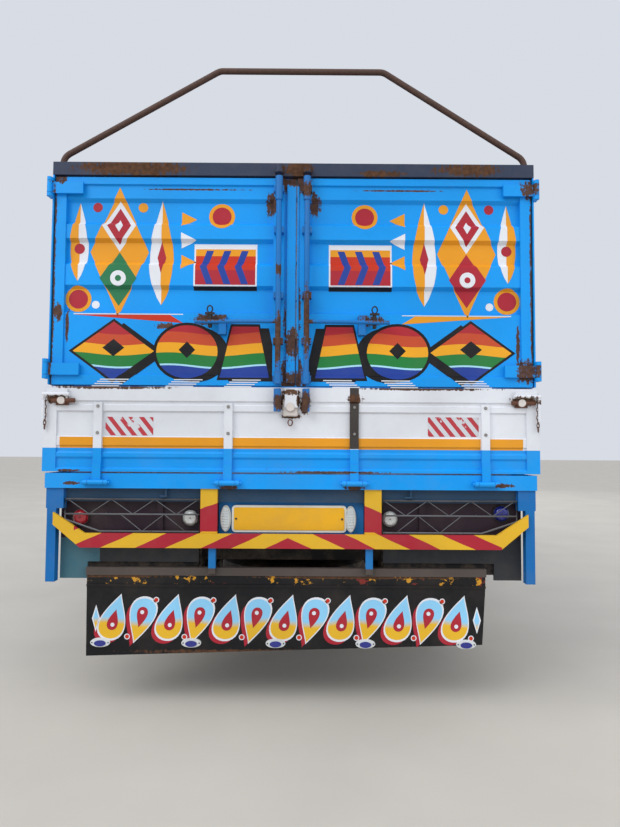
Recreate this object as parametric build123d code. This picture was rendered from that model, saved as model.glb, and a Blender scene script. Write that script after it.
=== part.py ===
"""Painted drop-side lorry with high corrugated walls, in millimetres.

The origin is on the ground under the middle of the lorry. +Y is forward, +X is the lorry's
right side as seen from behind, +Z is up.
"""
from build123d import *
import math
import os

# Whole vehicle
lock_rod_radius = 12.5
lock_rod_out = 30.0
lock_sleeve_wall = 4.0
rod_x = 64.0
rear_reach = lock_rod_out + lock_rod_radius + lock_sleeve_wall
wheelbase = 3700.0
rear_overhang = 1800.0
front_overhang = 1153.5
overall_length = rear_reach + rear_overhang + wheelbase + front_overhang
body_width = 2210.0
gap = 6.0

# Stations along Y, worked out from the lengths above
y_back = -overall_length / 2
y_tail = y_back + rear_reach
y_front = overall_length / 2
y_rear_axle = y_tail + rear_overhang
y_front_axle = y_rear_axle + wheelbase

# Wheels and tyres
tyre_radius = 402.5
tyre_width = 215.0
bead_clear = 0.3
bead_height = 15.0
rim_radius = 203.0
rim_width = 165.0
rim_wall = 9.0
front_track = 1665.0
rear_track = 1495.0
twin_spacing = 245.0
hub_bore = 82.0
hub_fit = 1.5

# Ladder frame
frame_top = 780.0
frame_depth = 200.0
rail_flange = 65.0
leaf_width = 70.0
tyre_to_spring = 20.5
spring_beside = 2.0
inner_tyre_face = rear_track / 2 - twin_spacing / 2 - tyre_width / 2
rail_x = inner_tyre_face - tyre_to_spring - leaf_width - spring_beside
rail_wall = 7.0
frame_front = y_front - 165.0
frame_rear = y_tail + 170.0

# Load body heights
bearer_height = 122.0
crossmember_height = 61.0
sill_height = 67.0
gate_gap = 7.0
gate_height = 384.0
gate_thick = 40.0
door_gap = 8.0
door_height = 960.0
door_thick = 40.0
top_rail_height = 60.0
bow_rise = 466.0
bow_radius = 14.0
bow_count = 4
floor_thick = 30.0
headboard_thick = 50.0

crossmember_bottom = frame_top + bearer_height
deck_bottom = crossmember_bottom + crossmember_height
deck_top = deck_bottom + sill_height
gate_bottom = deck_top + gate_gap
gate_top = gate_bottom + gate_height
door_bottom = gate_top + door_gap
door_top = door_bottom + door_height
rail_bottom = door_top + door_gap
body_top = rail_bottom + top_rail_height
half_body = body_width / 2
post_depth = 60.0
mid_post_width = 90.0

# Drop gate hinges
gate_axis_drop = 40.0
gate_axis_out = 17.0
gate_axis_z = deck_top - gate_axis_drop
pin_radius = 7.0
pin_fit = 0.6
eye_radius = 12.0
eye_length = 70.0
lug_length = 18.0
strap_width = 38.0
strap_thick = 8.0

# Rear door hinges
door_axis_in = 8.0
door_axis_back = 16.0
door_side_gap = 12.0
hinge_eye_height = 54.0
hinge_plate_reach = 130.0

# Cab
cab_width = 2000.0
cab_front = y_front - 45.0
cab_length = 1640.0
cab_back = cab_front - cab_length
cab_to_body = 105.0
body_front = cab_back - cab_to_body
cab_wall = 40.0
cab_floor = 905.0
cab_roof = 2290.0
cab_skirt = 650.0
cab_waist = 1500.0
arch_radius = 478.0
tilt_y = cab_front - 85.0
tilt_z = 812.0
tilt_pin_radius = 18.0

# Steering
king_pin_inset = 130.0
king_pin_radius = 16.0
steer_arm_length = 190.0
tie_rod_radius = 14.0


def block(x0, x1, y0, y1, z0, z1):
    """A box between two corners."""
    return Pos((x0 + x1) / 2, (y0 + y1) / 2, (z0 + z1) / 2) * Box(x1 - x0, y1 - y0, z1 - z0)


def rod(start, end, radius):
    """A round bar from one point to another."""
    a = Vector(*start)
    b = Vector(*end)
    place = Plane(origin=a, z_dir=b - a)
    return place * Cylinder(radius, (b - a).length, align=(Align.CENTER, Align.CENTER, Align.MIN))


def along_x(x0, x1, y, z, radius):
    return rod((x0, y, z), (x1, y, z), radius)


def along_y(y0, y1, x, z, radius):
    return rod((x, y0, z), (x, y1, z), radius)


def along_z(z0, z1, x, y, radius):
    return rod((x, y, z0), (x, y, z1), radius)


def side_prism(points, x0, x1):
    """A solid whose side view, as (y, z) points, is pushed from x0 to x1."""
    outline = Plane.YZ * Polygon(*points, align=None)
    return Pos(x0, 0, 0) * extrude(outline, amount=x1 - x0, dir=(1, 0, 0))


def end_prism(points, y0, y1):
    """A solid whose end view, as (x, z) points, is pushed from y0 to y1."""
    outline = Plane.XZ * Polygon(*points, align=None)
    return Pos(0, y0, 0) * extrude(outline, amount=y1 - y0, dir=(0, 1, 0))


def plan_prism(points, z0, z1):
    """A solid whose plan, as (x, y) points, is pushed from z0 to z1."""
    outline = Plane.XY * Polygon(*points, align=None)
    return Pos(0, 0, z0) * extrude(outline, amount=z1 - z0, dir=(0, 0, 1))


def fused(shapes):
    """All the shapes joined where they meet."""
    whole = shapes[0]
    if len(shapes) > 1:
        whole = whole + shapes[1:]
    return whole


def mirrored(shape):
    """The shape's twin on the other side of the lorry."""
    return mirror(shape, about=Plane.YZ)


def write(name, *shapes):
    """Write every solid of the shapes as one named piece."""
    solids = []
    for shape in shapes:
        solids.extend(shape.solids())
    whole = solids[0] if len(solids) == 1 else Compound(solids)
    export_step(whole, f"parts/{name}.step")


os.makedirs("parts", exist_ok=True)

# Ladder frame: two channels, their crossmembers, the cab's tilt brackets and the front towing eye
rail_bottom_z = frame_top - frame_depth
tow_eye_radius = 18.0
tow_eye_wall = 22.0
tow_eye_thick = 25.0
tow_eye_z = 392.0
tow_eye_y = y_front - 95.0
tilt_bracket_x = rail_x - 35.0
tilt_bracket_thick = 18.0
tilt_pin_length = 62.0
crossmember_depth = 120.0
crossmember_wide = 70.0
crossmember_y = (
    frame_front - 60.0,
    y_front_axle - 980.0,
    y_front_axle - 1700.0,
    y_rear_axle + 700.0,
    y_rear_axle - 700.0,
    frame_rear + 45.0,
)


def channel_rail(side):
    """One frame rail, a channel that is open towards the middle."""
    outer = rail_x
    inner = rail_x - rail_flange
    whole = block(inner, outer, frame_rear, frame_front, rail_bottom_z, frame_top)
    hollow = block(inner - 1, outer - rail_wall, frame_rear - 1, frame_front + 1,
                   rail_bottom_z + rail_wall, frame_top - rail_wall)
    rail = whole - hollow
    return rail if side > 0 else mirrored(rail)


def tilt_bracket(side):
    """A plate on the rail's front end with the pin that the cab tilts on."""
    x0 = tilt_bracket_x
    x1 = x0 + tilt_bracket_thick
    plate = side_prism([(frame_front - 130, rail_bottom_z + 40), (frame_front + 20, rail_bottom_z + 40),
                        (tilt_y + 30, tilt_z + 5), (tilt_y + 12, tilt_z + 28), (tilt_y - 18, tilt_z + 28),
                        (frame_front - 130, frame_top - 15)], x0, x1)
    pin = along_x(x0, x0 + tilt_pin_length, tilt_y, tilt_z, tilt_pin_radius)
    foot = block(x1 - 1, rail_x - rail_wall + 1, frame_front - 120, frame_front - 20,
                 rail_bottom_z + 60, frame_top - 30)
    bracket = fused([plate, pin, foot])
    return bracket if side > 0 else mirrored(bracket)


frame_parts = [channel_rail(1), channel_rail(-1)]
for y in crossmember_y:
    z_mid = frame_top - frame_depth / 2
    beam = block(-rail_x + rail_wall - 1, rail_x - rail_wall + 1, y - crossmember_wide / 2,
                 y + crossmember_wide / 2, z_mid - crossmember_depth / 2, z_mid + crossmember_depth / 2)
    slot = block(-rail_x + 30, rail_x - 30, y - crossmember_wide / 2 + 8,
                 y + crossmember_wide / 2 + 1, z_mid - crossmember_depth / 2 + 8,
                 z_mid + crossmember_depth / 2 - 8)
    frame_parts.append(beam - slot)
frame_parts += [tilt_bracket(1), tilt_bracket(-1)]
tow_x = rail_x - 40.0
tow_plate = side_prism([(frame_front - 160, rail_bottom_z + 3), (frame_front - 160, rail_bottom_z - 40),
                        (tow_eye_y - tow_eye_wall - 10, tow_eye_z - 20), (tow_eye_y, tow_eye_z - 40),
                        (tow_eye_y + 40, tow_eye_z), (tow_eye_y + 20, tow_eye_z + 40),
                        (frame_front, rail_bottom_z + 3)],
                       tow_x, tow_x + tow_eye_thick)
tow_hole = along_x(tow_x - 1, tow_x + tow_eye_thick + 1, tow_eye_y, tow_eye_z, tow_eye_radius)
frame_parts.append(tow_plate - tow_hole)
spare_y = y_rear_axle - 1000.0
spare_z = rail_bottom_z - tyre_width / 2 - 25.0
carrier = [along_z(spare_z - 60, rail_bottom_z + 60, 0, spare_y, 14),
           block(-rail_x + rail_wall, rail_x - rail_wall, spare_y - 30, spare_y + 30,
                 rail_bottom_z + 42, rail_bottom_z + 70),
           Pos(0, spare_y, spare_z - 50) * Cylinder(70, 20)]
write("chassis_frame", fused(frame_parts + carrier))


# Leaf springs with their hangers
leaf_thick = 11.0
leaf_eye_radius = 24.0
front_seat_z = 386.0
rear_seat_z = 480.0
front_eye_z = rail_bottom_z - 62.0
rear_eye_z = rail_bottom_z
front_spring_x = rail_x - leaf_width / 2
rear_spring_x = rail_x + leaf_width / 2 + spring_beside
# (axle y, spring x, seat z, eye z, half length, leaves)
spring_table = (
    (y_front_axle, front_spring_x, front_seat_z, front_eye_z, 600.0, 5),
    (y_rear_axle, rear_spring_x, rear_seat_z, rear_eye_z, 660.0, 6),
)


def leaf(axle_y, seat_z, end_z, half, layer, layers, x0, x1):
    """One curved leaf: short ones lie below the main leaf."""
    reach = half * (1 - 0.14 * layer)
    level = (layers - 1 - layer) * leaf_thick
    rise = (end_z - seat_z) * (reach / half) ** 2
    low = seat_z + level
    top_arc = ThreePointArc((axle_y - reach, low + rise + leaf_thick), (axle_y, low + leaf_thick),
                            (axle_y + reach, low + rise + leaf_thick))
    low_arc = ThreePointArc((axle_y + reach, low + rise), (axle_y, low), (axle_y - reach, low + rise))
    ends = [Line(top_arc @ 1, low_arc @ 0), Line(low_arc @ 1, top_arc @ 0)]
    face = make_face(Plane.YZ * (Curve() + [top_arc, ends[0], low_arc, ends[1]]))
    return Pos(x0, 0, 0) * extrude(face, amount=x1 - x0, dir=(1, 0, 0))


springs = []
for axle_y, spring_x, seat_z, eye_z, half, layers in spring_table:
    x0 = spring_x - leaf_width / 2
    x1 = spring_x + leaf_width / 2
    end_z = eye_z - (layers - 1) * leaf_thick - leaf_thick / 2
    pieces = [leaf(axle_y, seat_z, end_z, half, layer, layers, x0, x1) for layer in range(round(layers))]
    pack_top = seat_z + layers * leaf_thick
    pieces.append(block(x0 - 8, x1 + 1, axle_y - 60, axle_y + 60, pack_top - 2, pack_top + 14))
    for end in (-1, 1):
        y = axle_y + end * half
        pieces.append(along_x(x0, x1, y, eye_z, leaf_eye_radius))
        hanger_top = rail_bottom_z if spring_x < rail_x else rail_bottom_z + 110
        hanger_in = x0 if spring_x < rail_x else rail_x
        pieces.append(block(hanger_in, x0 + 10, y - 34, y + 34, eye_z - 30, hanger_top))
        pieces.append(block(x1 - 10, x1, y - 34, y + 34, eye_z - 30, hanger_top))
        pieces.append(block(hanger_in, x1, y - 34, y + 34, hanger_top - 16, hanger_top))
    spring = fused(pieces)
    springs += [spring, mirrored(spring)]
write("leaf_springs", *springs)


# Front axle beam with the king pins
king_x = front_track / 2 - king_pin_inset
beam_drop_z = front_seat_z - 62.0
king_low = tyre_radius - 42.0
king_high = tyre_radius + 42.0
king_boss_radius = 34.0
king_pin_reach = 44.0
beam = block(-king_x + 85, king_x - 85, y_front_axle - 34, y_front_axle + 34, beam_drop_z, front_seat_z)
beam_slot = block(-king_x + 120, king_x - 120, y_front_axle + 10, y_front_axle + 40, beam_drop_z + 14,
                  front_seat_z - 14)
beam_slot_rear = block(-king_x + 120, king_x - 120, y_front_axle - 40, y_front_axle - 10, beam_drop_z + 14,
                       front_seat_z - 14)
axle_parts = [beam - beam_slot - beam_slot_rear]
for side in (-1, 1):
    x = side * king_x
    axle_parts.append(along_z(king_low, king_high, x, y_front_axle, king_boss_radius))
    axle_parts.append(end_prism([(side * (king_x - 110), beam_drop_z), (side * (king_x - 85), beam_drop_z),
                                 (side * (king_x - 54), king_low), (x, king_low), (x, king_high),
                                 (side * (king_x - 110), front_seat_z)],
                                y_front_axle - 24, y_front_axle + 24))
    axle_parts.append(along_z(king_low - king_pin_reach, king_high + king_pin_reach, x, y_front_axle,
                              king_pin_radius))
write("front_axle", fused(axle_parts))


# Rear axle: housing, differential and hub spindles
housing_radius = 66.0
diff_radius = 165.0
spindle_radius = hub_bore / 2 - hub_fit
rear_hub_inner = rear_track / 2 - twin_spacing / 2 - 30.0
rear_hub_outer = rear_track / 2 + twin_spacing / 2 + 20.0
diff_nose = 250.0
rear_parts = [
    along_x(-rear_hub_inner + 12, rear_hub_inner - 12, y_rear_axle, tyre_radius, housing_radius),
    along_x(-60, 60, y_rear_axle, tyre_radius, diff_radius),
    Pos(-105, y_rear_axle, tyre_radius) * Rot(0, -90, 0) * Cone(diff_radius, housing_radius + 14, 90),
    Pos(105, y_rear_axle, tyre_radius) * Rot(0, 90, 0) * Cone(diff_radius, housing_radius + 14, 90),
    along_y(y_rear_axle, y_rear_axle + diff_nose, 0, tyre_radius + 20, 62),
    along_x(-rear_hub_outer + 40, rear_hub_outer - 40, y_rear_axle, tyre_radius, spindle_radius),
]
for side in (-1, 1):
    x = side * rear_spring_x
    rear_parts.append(block(x - 35, x + 35, y_rear_axle - 60, y_rear_axle + 60, tyre_radius, rear_seat_z))
write("rear_axle", fused(rear_parts))


# Engine, gearbox and propeller shaft
engine_half_width = 265.0
engine_front = y_front_axle + 400.0
engine_back = y_front_axle - 380.0
engine_low = 500.0
engine_high = 1025.0
radiator_y = engine_front + 190.0
gearbox_z = 560.0
write("engine_block",
      block(-engine_half_width, engine_half_width, engine_back, engine_front, engine_low, engine_high),
      block(-290, 290, radiator_y, radiator_y + 70, rail_bottom_z + 10, cab_floor - 40))

gearbox_back = engine_back - 480.0
shaft_bearing_y = y_rear_axle + 1550.0
shaft_radius = 42.0
nose_y = y_rear_axle + diff_nose
drive_parts = [
    end_prism([(-150, gearbox_z - 130), (150, gearbox_z - 130), (170, gearbox_z + 60), (90, gearbox_z + 120),
               (-90, gearbox_z + 120), (-170, gearbox_z + 60)], gearbox_back, engine_back),
    rod((0, gearbox_back, gearbox_z), (0, shaft_bearing_y, gearbox_z - 20), shaft_radius),
    rod((0, shaft_bearing_y, gearbox_z - 20), (0, nose_y + 40, tyre_radius + 22), shaft_radius),
    along_y(nose_y, nose_y + 50, 0, tyre_radius + 20, 56),
    along_y(gearbox_back - 60, gearbox_back + 1, 0, gearbox_z, 62),
    along_y(shaft_bearing_y - 40, shaft_bearing_y + 40, 0, gearbox_z - 20, 68),
]
write("propshaft", fused(drive_parts))


# Fuel tank, battery box, air tanks and exhaust on the frame's sides
side_box_in = rail_x + 55.0
side_box_inset = 220.0
side_box_out = half_body - side_box_inset
tank_y = (y_rear_axle + 1250.0, y_rear_axle + 2150.0)
tank_z = (400.0, 750.0)
tank_corner = 50.0
tank = block(side_box_in, side_box_out, tank_y[0], tank_y[1], tank_z[0], tank_z[1])
tank = fillet(tank.edges().filter_by(Axis.Y), tank_corner)
neck_y = tank_y[1] - 120.0
tank = tank + rod((side_box_out - 60, neck_y, tank_z[1] - 60),
                  (side_box_out + 15, neck_y, tank_z[1] + 25), 40)
tank_parts = [tank]
for y in (tank_y[0] + 180, tank_y[1] - 240):
    tank_parts.append(block(rail_x, side_box_in + 5, y - 25, y + 25, tank_z[0] + 60, frame_top - 20))
    tank_parts.append(block(rail_x, side_box_out - tank_corner, y - 25, y + 25,
                            tank_z[0] - 16, tank_z[0] + 2))
    tank_parts.append(block(rail_x, rail_x + 12, y - 25, y + 25, tank_z[0] - 16, frame_top - 20))
write("fuel_tank", fused(tank_parts))

battery_y = (y_rear_axle + 1700.0, y_rear_axle + 2250.0)
battery = block(-side_box_out, -side_box_in, battery_y[0], battery_y[1], 430, 730)
battery_lid = block(-side_box_out - 8, -side_box_in + 4, battery_y[0] - 8, battery_y[1] + 8, 700, 742)
battery_arms = [block(-side_box_in - 5, -rail_x, y - 25, y + 25, 480, 700)
                for y in (battery_y[0] + 100, battery_y[1] - 100)]
battery_parts = [battery, battery_lid] + battery_arms
air_y = (y_rear_axle + 800.0, y_rear_axle + 1500.0)
air_radius = 115.0
air_x = -(side_box_in + air_radius + 20)
air_tank = along_y(air_y[0], air_y[1], air_x, 600, air_radius)
air_tank = fillet(air_tank.edges().filter_by(GeomType.CIRCLE), 30)
air_arms = [block(air_x, -rail_x, y - 20, y + 20, 560, 640) for y in (air_y[0] + 120, air_y[1] - 120)]
write("battery_and_air_tank", fused(battery_parts), fused([air_tank] + air_arms))

muffler_y = (y_rear_axle + 700.0, y_rear_axle + 1150.0)
muffler_x = side_box_in + 130.0
muffler_z = 560.0
muffler_radius = 105.0
exhaust_parts = [
    along_y(muffler_y[0], muffler_y[1], muffler_x, muffler_z, muffler_radius),
    along_y(muffler_y[0] - 60, muffler_y[0] + 1, muffler_x, muffler_z, 32),
    rod((muffler_x, muffler_y[0] - 50, muffler_z), (muffler_x + 230, muffler_y[0] - 50, muffler_z - 70), 32),
    block(rail_x, muffler_x, muffler_y[0] + 80, muffler_y[0] + 130, muffler_z, muffler_z + 70),
    block(rail_x, muffler_x, muffler_y[1] - 130, muffler_y[1] - 80, muffler_z, muffler_z + 70),
]
write("exhaust", fused(exhaust_parts))


# Wheels: a tyre section is turned about the wheel's axis
tread_half = tyre_width / 2 - 22.0
shoulder = 26.0


def tyre(x):
    """A tyre whose middle plane is at x, about the X axis."""
    half = tyre_width / 2
    crown = tyre_radius
    side_r = crown - shoulder
    bead_r = rim_radius + bead_clear
    widest_r = (tyre_radius + bead_r) / 2
    bead_half = rim_width / 2 - 9
    left = ThreePointArc((-bead_half, bead_r + bead_height), (-half, widest_r), (-half + 12, side_r))
    right = ThreePointArc((half - 12, side_r), (half, widest_r), (bead_half, bead_r + bead_height))
    tread = ThreePointArc((-tread_half, crown - 5), (0, crown), (tread_half, crown - 5))
    section = Curve() + [
        left,
        Line(left @ 1, tread @ 0),
        tread,
        Line(tread @ 1, right @ 0),
        right,
        Line(right @ 1, (bead_half, bead_r)),
        Line((bead_half, bead_r), (-bead_half, bead_r)),
        Line((-bead_half, bead_r), left @ 0),
    ]
    return Pos(x, 0, 0) * revolve(make_face(section), axis=Axis.X)


def ring(x0, x1, outer, inner):
    """A turned ring about the X axis."""
    body = Pos((x0 + x1) / 2, 0, 0) * (Rot(0, 90, 0) * Cylinder(outer, x1 - x0))
    if inner > 0:
        body = body - Pos((x0 + x1) / 2, 0, 0) * (Rot(0, 90, 0) * Cylinder(inner, x1 - x0 + 2))
    return body


def rim(x, dish):
    """A steel rim about the X axis, its disc set over by dish, with round hand holes."""
    half = rim_width / 2
    inner = rim_radius - rim_wall
    parts = [ring(x - half, x + half, rim_radius, inner)]
    for side in (-1, 1):
        edge = x + side * half
        parts.append(ring(min(edge, edge - side * 8), max(edge, edge - side * 8), rim_radius + 12, inner))
    disc = ring(x + dish - 6, x + dish + 6, inner + 1, 0)
    for i in range(8):
        hole = Rot(22.5 + 45 * i, 0, 0) * Pos(x + dish, 0, 148) * (Rot(0, 90, 0) * Cylinder(24, 60))
        disc = disc - hole
    parts.append(disc)
    return parts


write("tyre_front_left", Pos(-front_track / 2, y_front_axle, tyre_radius) * tyre(0))
write("tyre_front_right", Pos(front_track / 2, y_front_axle, tyre_radius) * tyre(0))

front_hub_inner = -38.0
front_hub_outer = 62.0
drum_radius = 158.0


def front_wheel_steel():
    """Right front rim with its drum and hub, about the wheel's centre."""
    parts = rim(0, 34)
    parts.append(ring(front_hub_inner, 40, drum_radius, drum_radius - 14))
    parts.append(ring(28, front_hub_outer, 88, 0))
    parts.append(ring(front_hub_inner, front_hub_outer - 18, 60, 0))
    hub = fused(parts)
    return hub - ring(front_hub_inner - 1, front_hub_outer - 14, hub_bore / 2, 0)


def twin_wheel_steel():
    """Right pair of rear rims with drum and hub, about the pair's middle."""
    half = twin_spacing / 2
    parts = rim(-half, half - 12) + rim(half, -half + 12)
    parts.append(ring(-half - 30, -8, drum_radius, drum_radius - 14))
    parts.append(ring(-14, half + 20, 92, 0))
    parts.append(ring(-half - 30, -10, 58, 0))
    hub = fused(parts)
    return hub - ring(-half - 31, half + 4, hub_bore / 2, 0)


steel_right = Pos(front_track / 2, y_front_axle, tyre_radius) * front_wheel_steel()
write("rim_front_right", steel_right)
write("rim_front_left", mirrored(steel_right))
twins_right = Pos(rear_track / 2, y_rear_axle, tyre_radius) * twin_wheel_steel()
write("rims_rear_right", twins_right)
write("rims_rear_left", mirrored(twins_right))
pair = [Pos(rear_track / 2, y_rear_axle, tyre_radius) * tyre(s * twin_spacing / 2) for s in (-1, 1)]
write("tyres_rear_right", *pair)
write("tyres_rear_left", *[mirrored(t) for t in pair])

spare_turn = Pos(0, spare_y, spare_z) * Rot(0, 90, 0)
spare_steel = fused(rim(0, 34)) - ring(-60, 60, 30, 0)
write("spare_wheel", spare_turn * tyre(0), spare_turn * spare_steel)

# Steering: knuckles on the king pins, and the track rod behind the axle
lug_half = 30.0
knuckle_gap = 1.5
knuckle_low = king_low - knuckle_gap
knuckle_high = king_high + knuckle_gap
arm_z = king_low - knuckle_gap - lug_half
ball_pin_radius = 9.0
ball_pin_fit = 0.6
ball_eye_radius = 20.0
ball_gap = 3.0
rod_z = arm_z - ball_gap - 16.0
arm_half = 13.0
arm_y = y_front_axle - steer_arm_length


def knuckle_right():
    """Right knuckle: a fork round the beam's boss, a backing plate, the spindle and the steering arm."""
    outer_x = king_x + king_boss_radius + 8.0
    x0 = king_x - 32
    x1 = outer_x + 22
    upper = block(x0, x1, y_front_axle - 34, y_front_axle + 34, knuckle_high, knuckle_high + lug_half)
    lower = block(x0, x1, y_front_axle - 34, y_front_axle + 34, knuckle_low - lug_half, knuckle_low)
    back = block(outer_x, x1, y_front_axle - 34, y_front_axle + 34, knuckle_low - lug_half,
                 knuckle_high + lug_half)
    wheel_x = front_track / 2
    plate_x = wheel_x + front_hub_inner - 12
    plate = along_x(plate_x - 8, plate_x, y_front_axle, tyre_radius, drum_radius + 8)
    neck = along_x(x1 - 5, plate_x, y_front_axle, tyre_radius, 46)
    spindle = along_x(plate_x - 4, wheel_x + front_hub_outer - 22, y_front_axle, tyre_radius, spindle_radius)
    arm = plan_prism([(king_x - arm_half, y_front_axle), (king_x - arm_half, arm_y - 16),
                      (king_x + arm_half, arm_y - 16), (king_x + arm_half, y_front_axle)],
                     arm_z, arm_z + 18)
    ball_pin = along_z(rod_z - 16, arm_z + 2, king_x, arm_y, ball_pin_radius)
    body = fused([upper, lower, back, plate, neck, spindle, arm, ball_pin])
    bore = along_z(arm_z - 5, knuckle_high + 80, king_x, y_front_axle, king_pin_radius + pin_fit)
    return body - bore


knuckle = knuckle_right()
write("knuckle_right", knuckle)
write("knuckle_left", mirrored(knuckle))

track_rod = [along_x(-king_x, king_x, arm_y, rod_z, tie_rod_radius)]
for side in (-1, 1):
    track_rod.append(along_z(rod_z - 16, rod_z + 16, side * king_x, arm_y, ball_eye_radius))
track_rod = fused(track_rod)
for side in (-1, 1):
    track_rod = track_rod - along_z(rod_z - 17, rod_z + 17, side * king_x, arm_y,
                                    ball_pin_radius + ball_pin_fit)
write("tie_rod", track_rod)


# Load body underframe: long bearers on the rails, cross bearers, side rails and the floor
bearer_width = 90.0
bearer_rear = y_tail + 76.0
cross_wide = 60.0
cross_count = 9
cross_first = y_tail + 160.0
cross_last = body_front - 110.0
sill_wide = 55.0
under = []
for side in (-1, 1):
    x_mid = side * (rail_x - bearer_width / 2)
    under.append(block(x_mid - bearer_width / 2, x_mid + bearer_width / 2, bearer_rear, body_front,
                       frame_top, crossmember_bottom))
for i in range(cross_count):
    y = cross_first + (cross_last - cross_first) * i / (cross_count - 1)
    under.append(block(-half_body + sill_wide, half_body - sill_wide, y - cross_wide / 2,
                       y + cross_wide / 2, crossmember_bottom, deck_top - floor_thick))
write("underframe", fused(under))

floor_in_x = half_body - sill_wide
post_foot_x = half_body - gate_thick - post_depth
post_y = (y_tail + gate_thick + gap, y_tail + gate_thick + gap + post_depth)
post_foot = block(post_foot_x, floor_in_x, y_tail + sill_wide, post_y[1], deck_top - floor_thick, deck_top)
floor = block(-floor_in_x, floor_in_x, y_tail + sill_wide, body_front - headboard_thick,
              deck_top - floor_thick, deck_top)
write("load_floor", floor - post_foot - mirrored(post_foot))

side_sill = block(half_body - sill_wide, half_body, y_tail + sill_wide, body_front - headboard_thick,
                  deck_bottom, deck_top)


# Posts that carry the upper walls: corner posts at the back, middle posts and the headboard's ends
mid_y = (y_tail + body_front) / 2


def rear_post():
    """Right rear corner post. Its upper part is as wide as the doors leave, its lower part stands inside
    the gates."""
    upper_x0 = half_body - door_side_gap
    lower = block(post_foot_x, half_body - gate_thick - gap, post_y[0], post_y[1], deck_top,
                  gate_top + gap)
    shelf = block(post_foot_x, half_body, post_y[0], post_y[1], gate_top + gap, gate_top + 2 * gap + 6)
    upper = block(half_body - 50, half_body, y_tail + door_thick + 2 * gap, post_y[1],
                  gate_top + gap, rail_bottom)
    edge = block(upper_x0 + 6, half_body, y_tail, y_tail + door_thick + 2 * gap + 1, door_bottom, rail_bottom)
    return fused([post_foot, lower, shelf, upper, edge])


def mid_post():
    """Right middle post between the two side gates, up to the top rail."""
    lower = block(half_body - 48, half_body, mid_y - mid_post_width / 2, mid_y + mid_post_width / 2,
                  deck_top, gate_top + gap)
    upper = block(half_body - 60, half_body - 6, mid_y - mid_post_width / 2, mid_y + mid_post_width / 2,
                  gate_top + gap - 1, rail_bottom)
    return fused([lower, upper])


rear_post_parts = [rear_post(), mid_post()]
hinge_z = (door_top - 55.0, door_bottom + 70.0)
door_axis_x = half_body + door_axis_in
door_axis_y = y_tail - door_axis_back
hinge_low_gap = 1.5
door_lug = 16.0
hinge_fit = 0.6
door_eye_radius = 11.5
lugs = []
for z in hinge_z:
    for side in (-1, 1):
        z0 = z + side * (hinge_eye_height / 2 + hinge_low_gap)
        z1 = z0 + side * door_lug
        lugs.append(block(half_body - 6, door_axis_x + 8, door_axis_y, y_tail + 20, min(z0, z1), max(z0, z1)))
        lugs.append(along_z(min(z0, z1), max(z0, z1), door_axis_x, door_axis_y, door_eye_radius))
    lugs.append(along_z(z - hinge_eye_height / 2 - 10, z + hinge_eye_height / 2 + 10, door_axis_x,
                        door_axis_y, pin_radius))
right_posts = [fused([rear_post_parts[0]] + lugs), rear_post_parts[1]]
write("body_posts", *right_posts, *[mirrored(p) for p in right_posts])


# Headboard at the front of the load body, up to the top rail
def ribbed_panel(x0, x1, y_mid, z0, z1, thick, rib, count):
    """A sheet across the lorry with level ribs pressed out of both faces."""
    points = [(y_mid - thick / 2, z0)]
    pitch = (z1 - z0) / count
    for i in range(count):
        base = z0 + pitch * i
        points += [(y_mid - thick / 2, base + pitch * 0.2), (y_mid - thick / 2 - rib, base + pitch * 0.3),
                   (y_mid - thick / 2 - rib, base + pitch * 0.7), (y_mid - thick / 2, base + pitch * 0.8)]
    points.append((y_mid - thick / 2, z1))
    front = []
    for y, z in reversed(points):
        front.append((y + thick, z))
    return side_prism(points + front, x0, x1)


head_y = body_front - headboard_thick / 2
head_parts = [
    ribbed_panel(-half_body + 40, half_body - 40, head_y, deck_bottom, rail_bottom, 12, 14, 7),
    block(-half_body, -half_body + 50, body_front - headboard_thick, body_front, deck_top, rail_bottom),
    block(half_body - 50, half_body, body_front - headboard_thick, body_front, deck_top, rail_bottom),
    block(-half_body, half_body, body_front - headboard_thick, body_front, crossmember_bottom,
          deck_top),
    block(-half_body + 1, half_body - 1, body_front - headboard_thick, body_front, gate_top - 20,
          gate_top + 20),
]
for x in (-350, 350):
    head_parts.append(block(x - 25, x + 25, body_front - headboard_thick, body_front, deck_bottom,
                            rail_bottom))
write("headboard", fused(head_parts))


# Upper side walls: corrugated steel between the posts
wall_thick = 26.0
wall_rib = 12.0
wall_ribs = 6
wall_bottom = gate_top + gap + 2
wall_out = half_body - 8.0


def side_wall(y0, y1):
    """One stretch of the right upper wall with level ribs."""
    x_mid = wall_out - wall_thick / 2 - wall_rib
    points = [(x_mid + wall_thick / 2, wall_bottom)]
    pitch = (rail_bottom - wall_bottom) / wall_ribs
    for i in range(wall_ribs):
        base = wall_bottom + pitch * i
        points += [(x_mid + wall_thick / 2, base + pitch * 0.22),
                   (x_mid + wall_thick / 2 + wall_rib, base + pitch * 0.32),
                   (x_mid + wall_thick / 2 + wall_rib, base + pitch * 0.68),
                   (x_mid + wall_thick / 2, base + pitch * 0.78)]
    points.append((x_mid + wall_thick / 2, rail_bottom))
    inner = [(x - wall_thick, z) for x, z in reversed(points)]
    return end_prism(points + inner, y0, y1)


wall_spans = (
    (y_tail + door_thick + 66, mid_y - mid_post_width / 2),
    (mid_y + mid_post_width / 2, body_front - headboard_thick),
)
walls = [side_wall(y0, y1) for y0, y1 in wall_spans]
write("upper_side_walls", *walls, *[mirrored(w) for w in walls])


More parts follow.
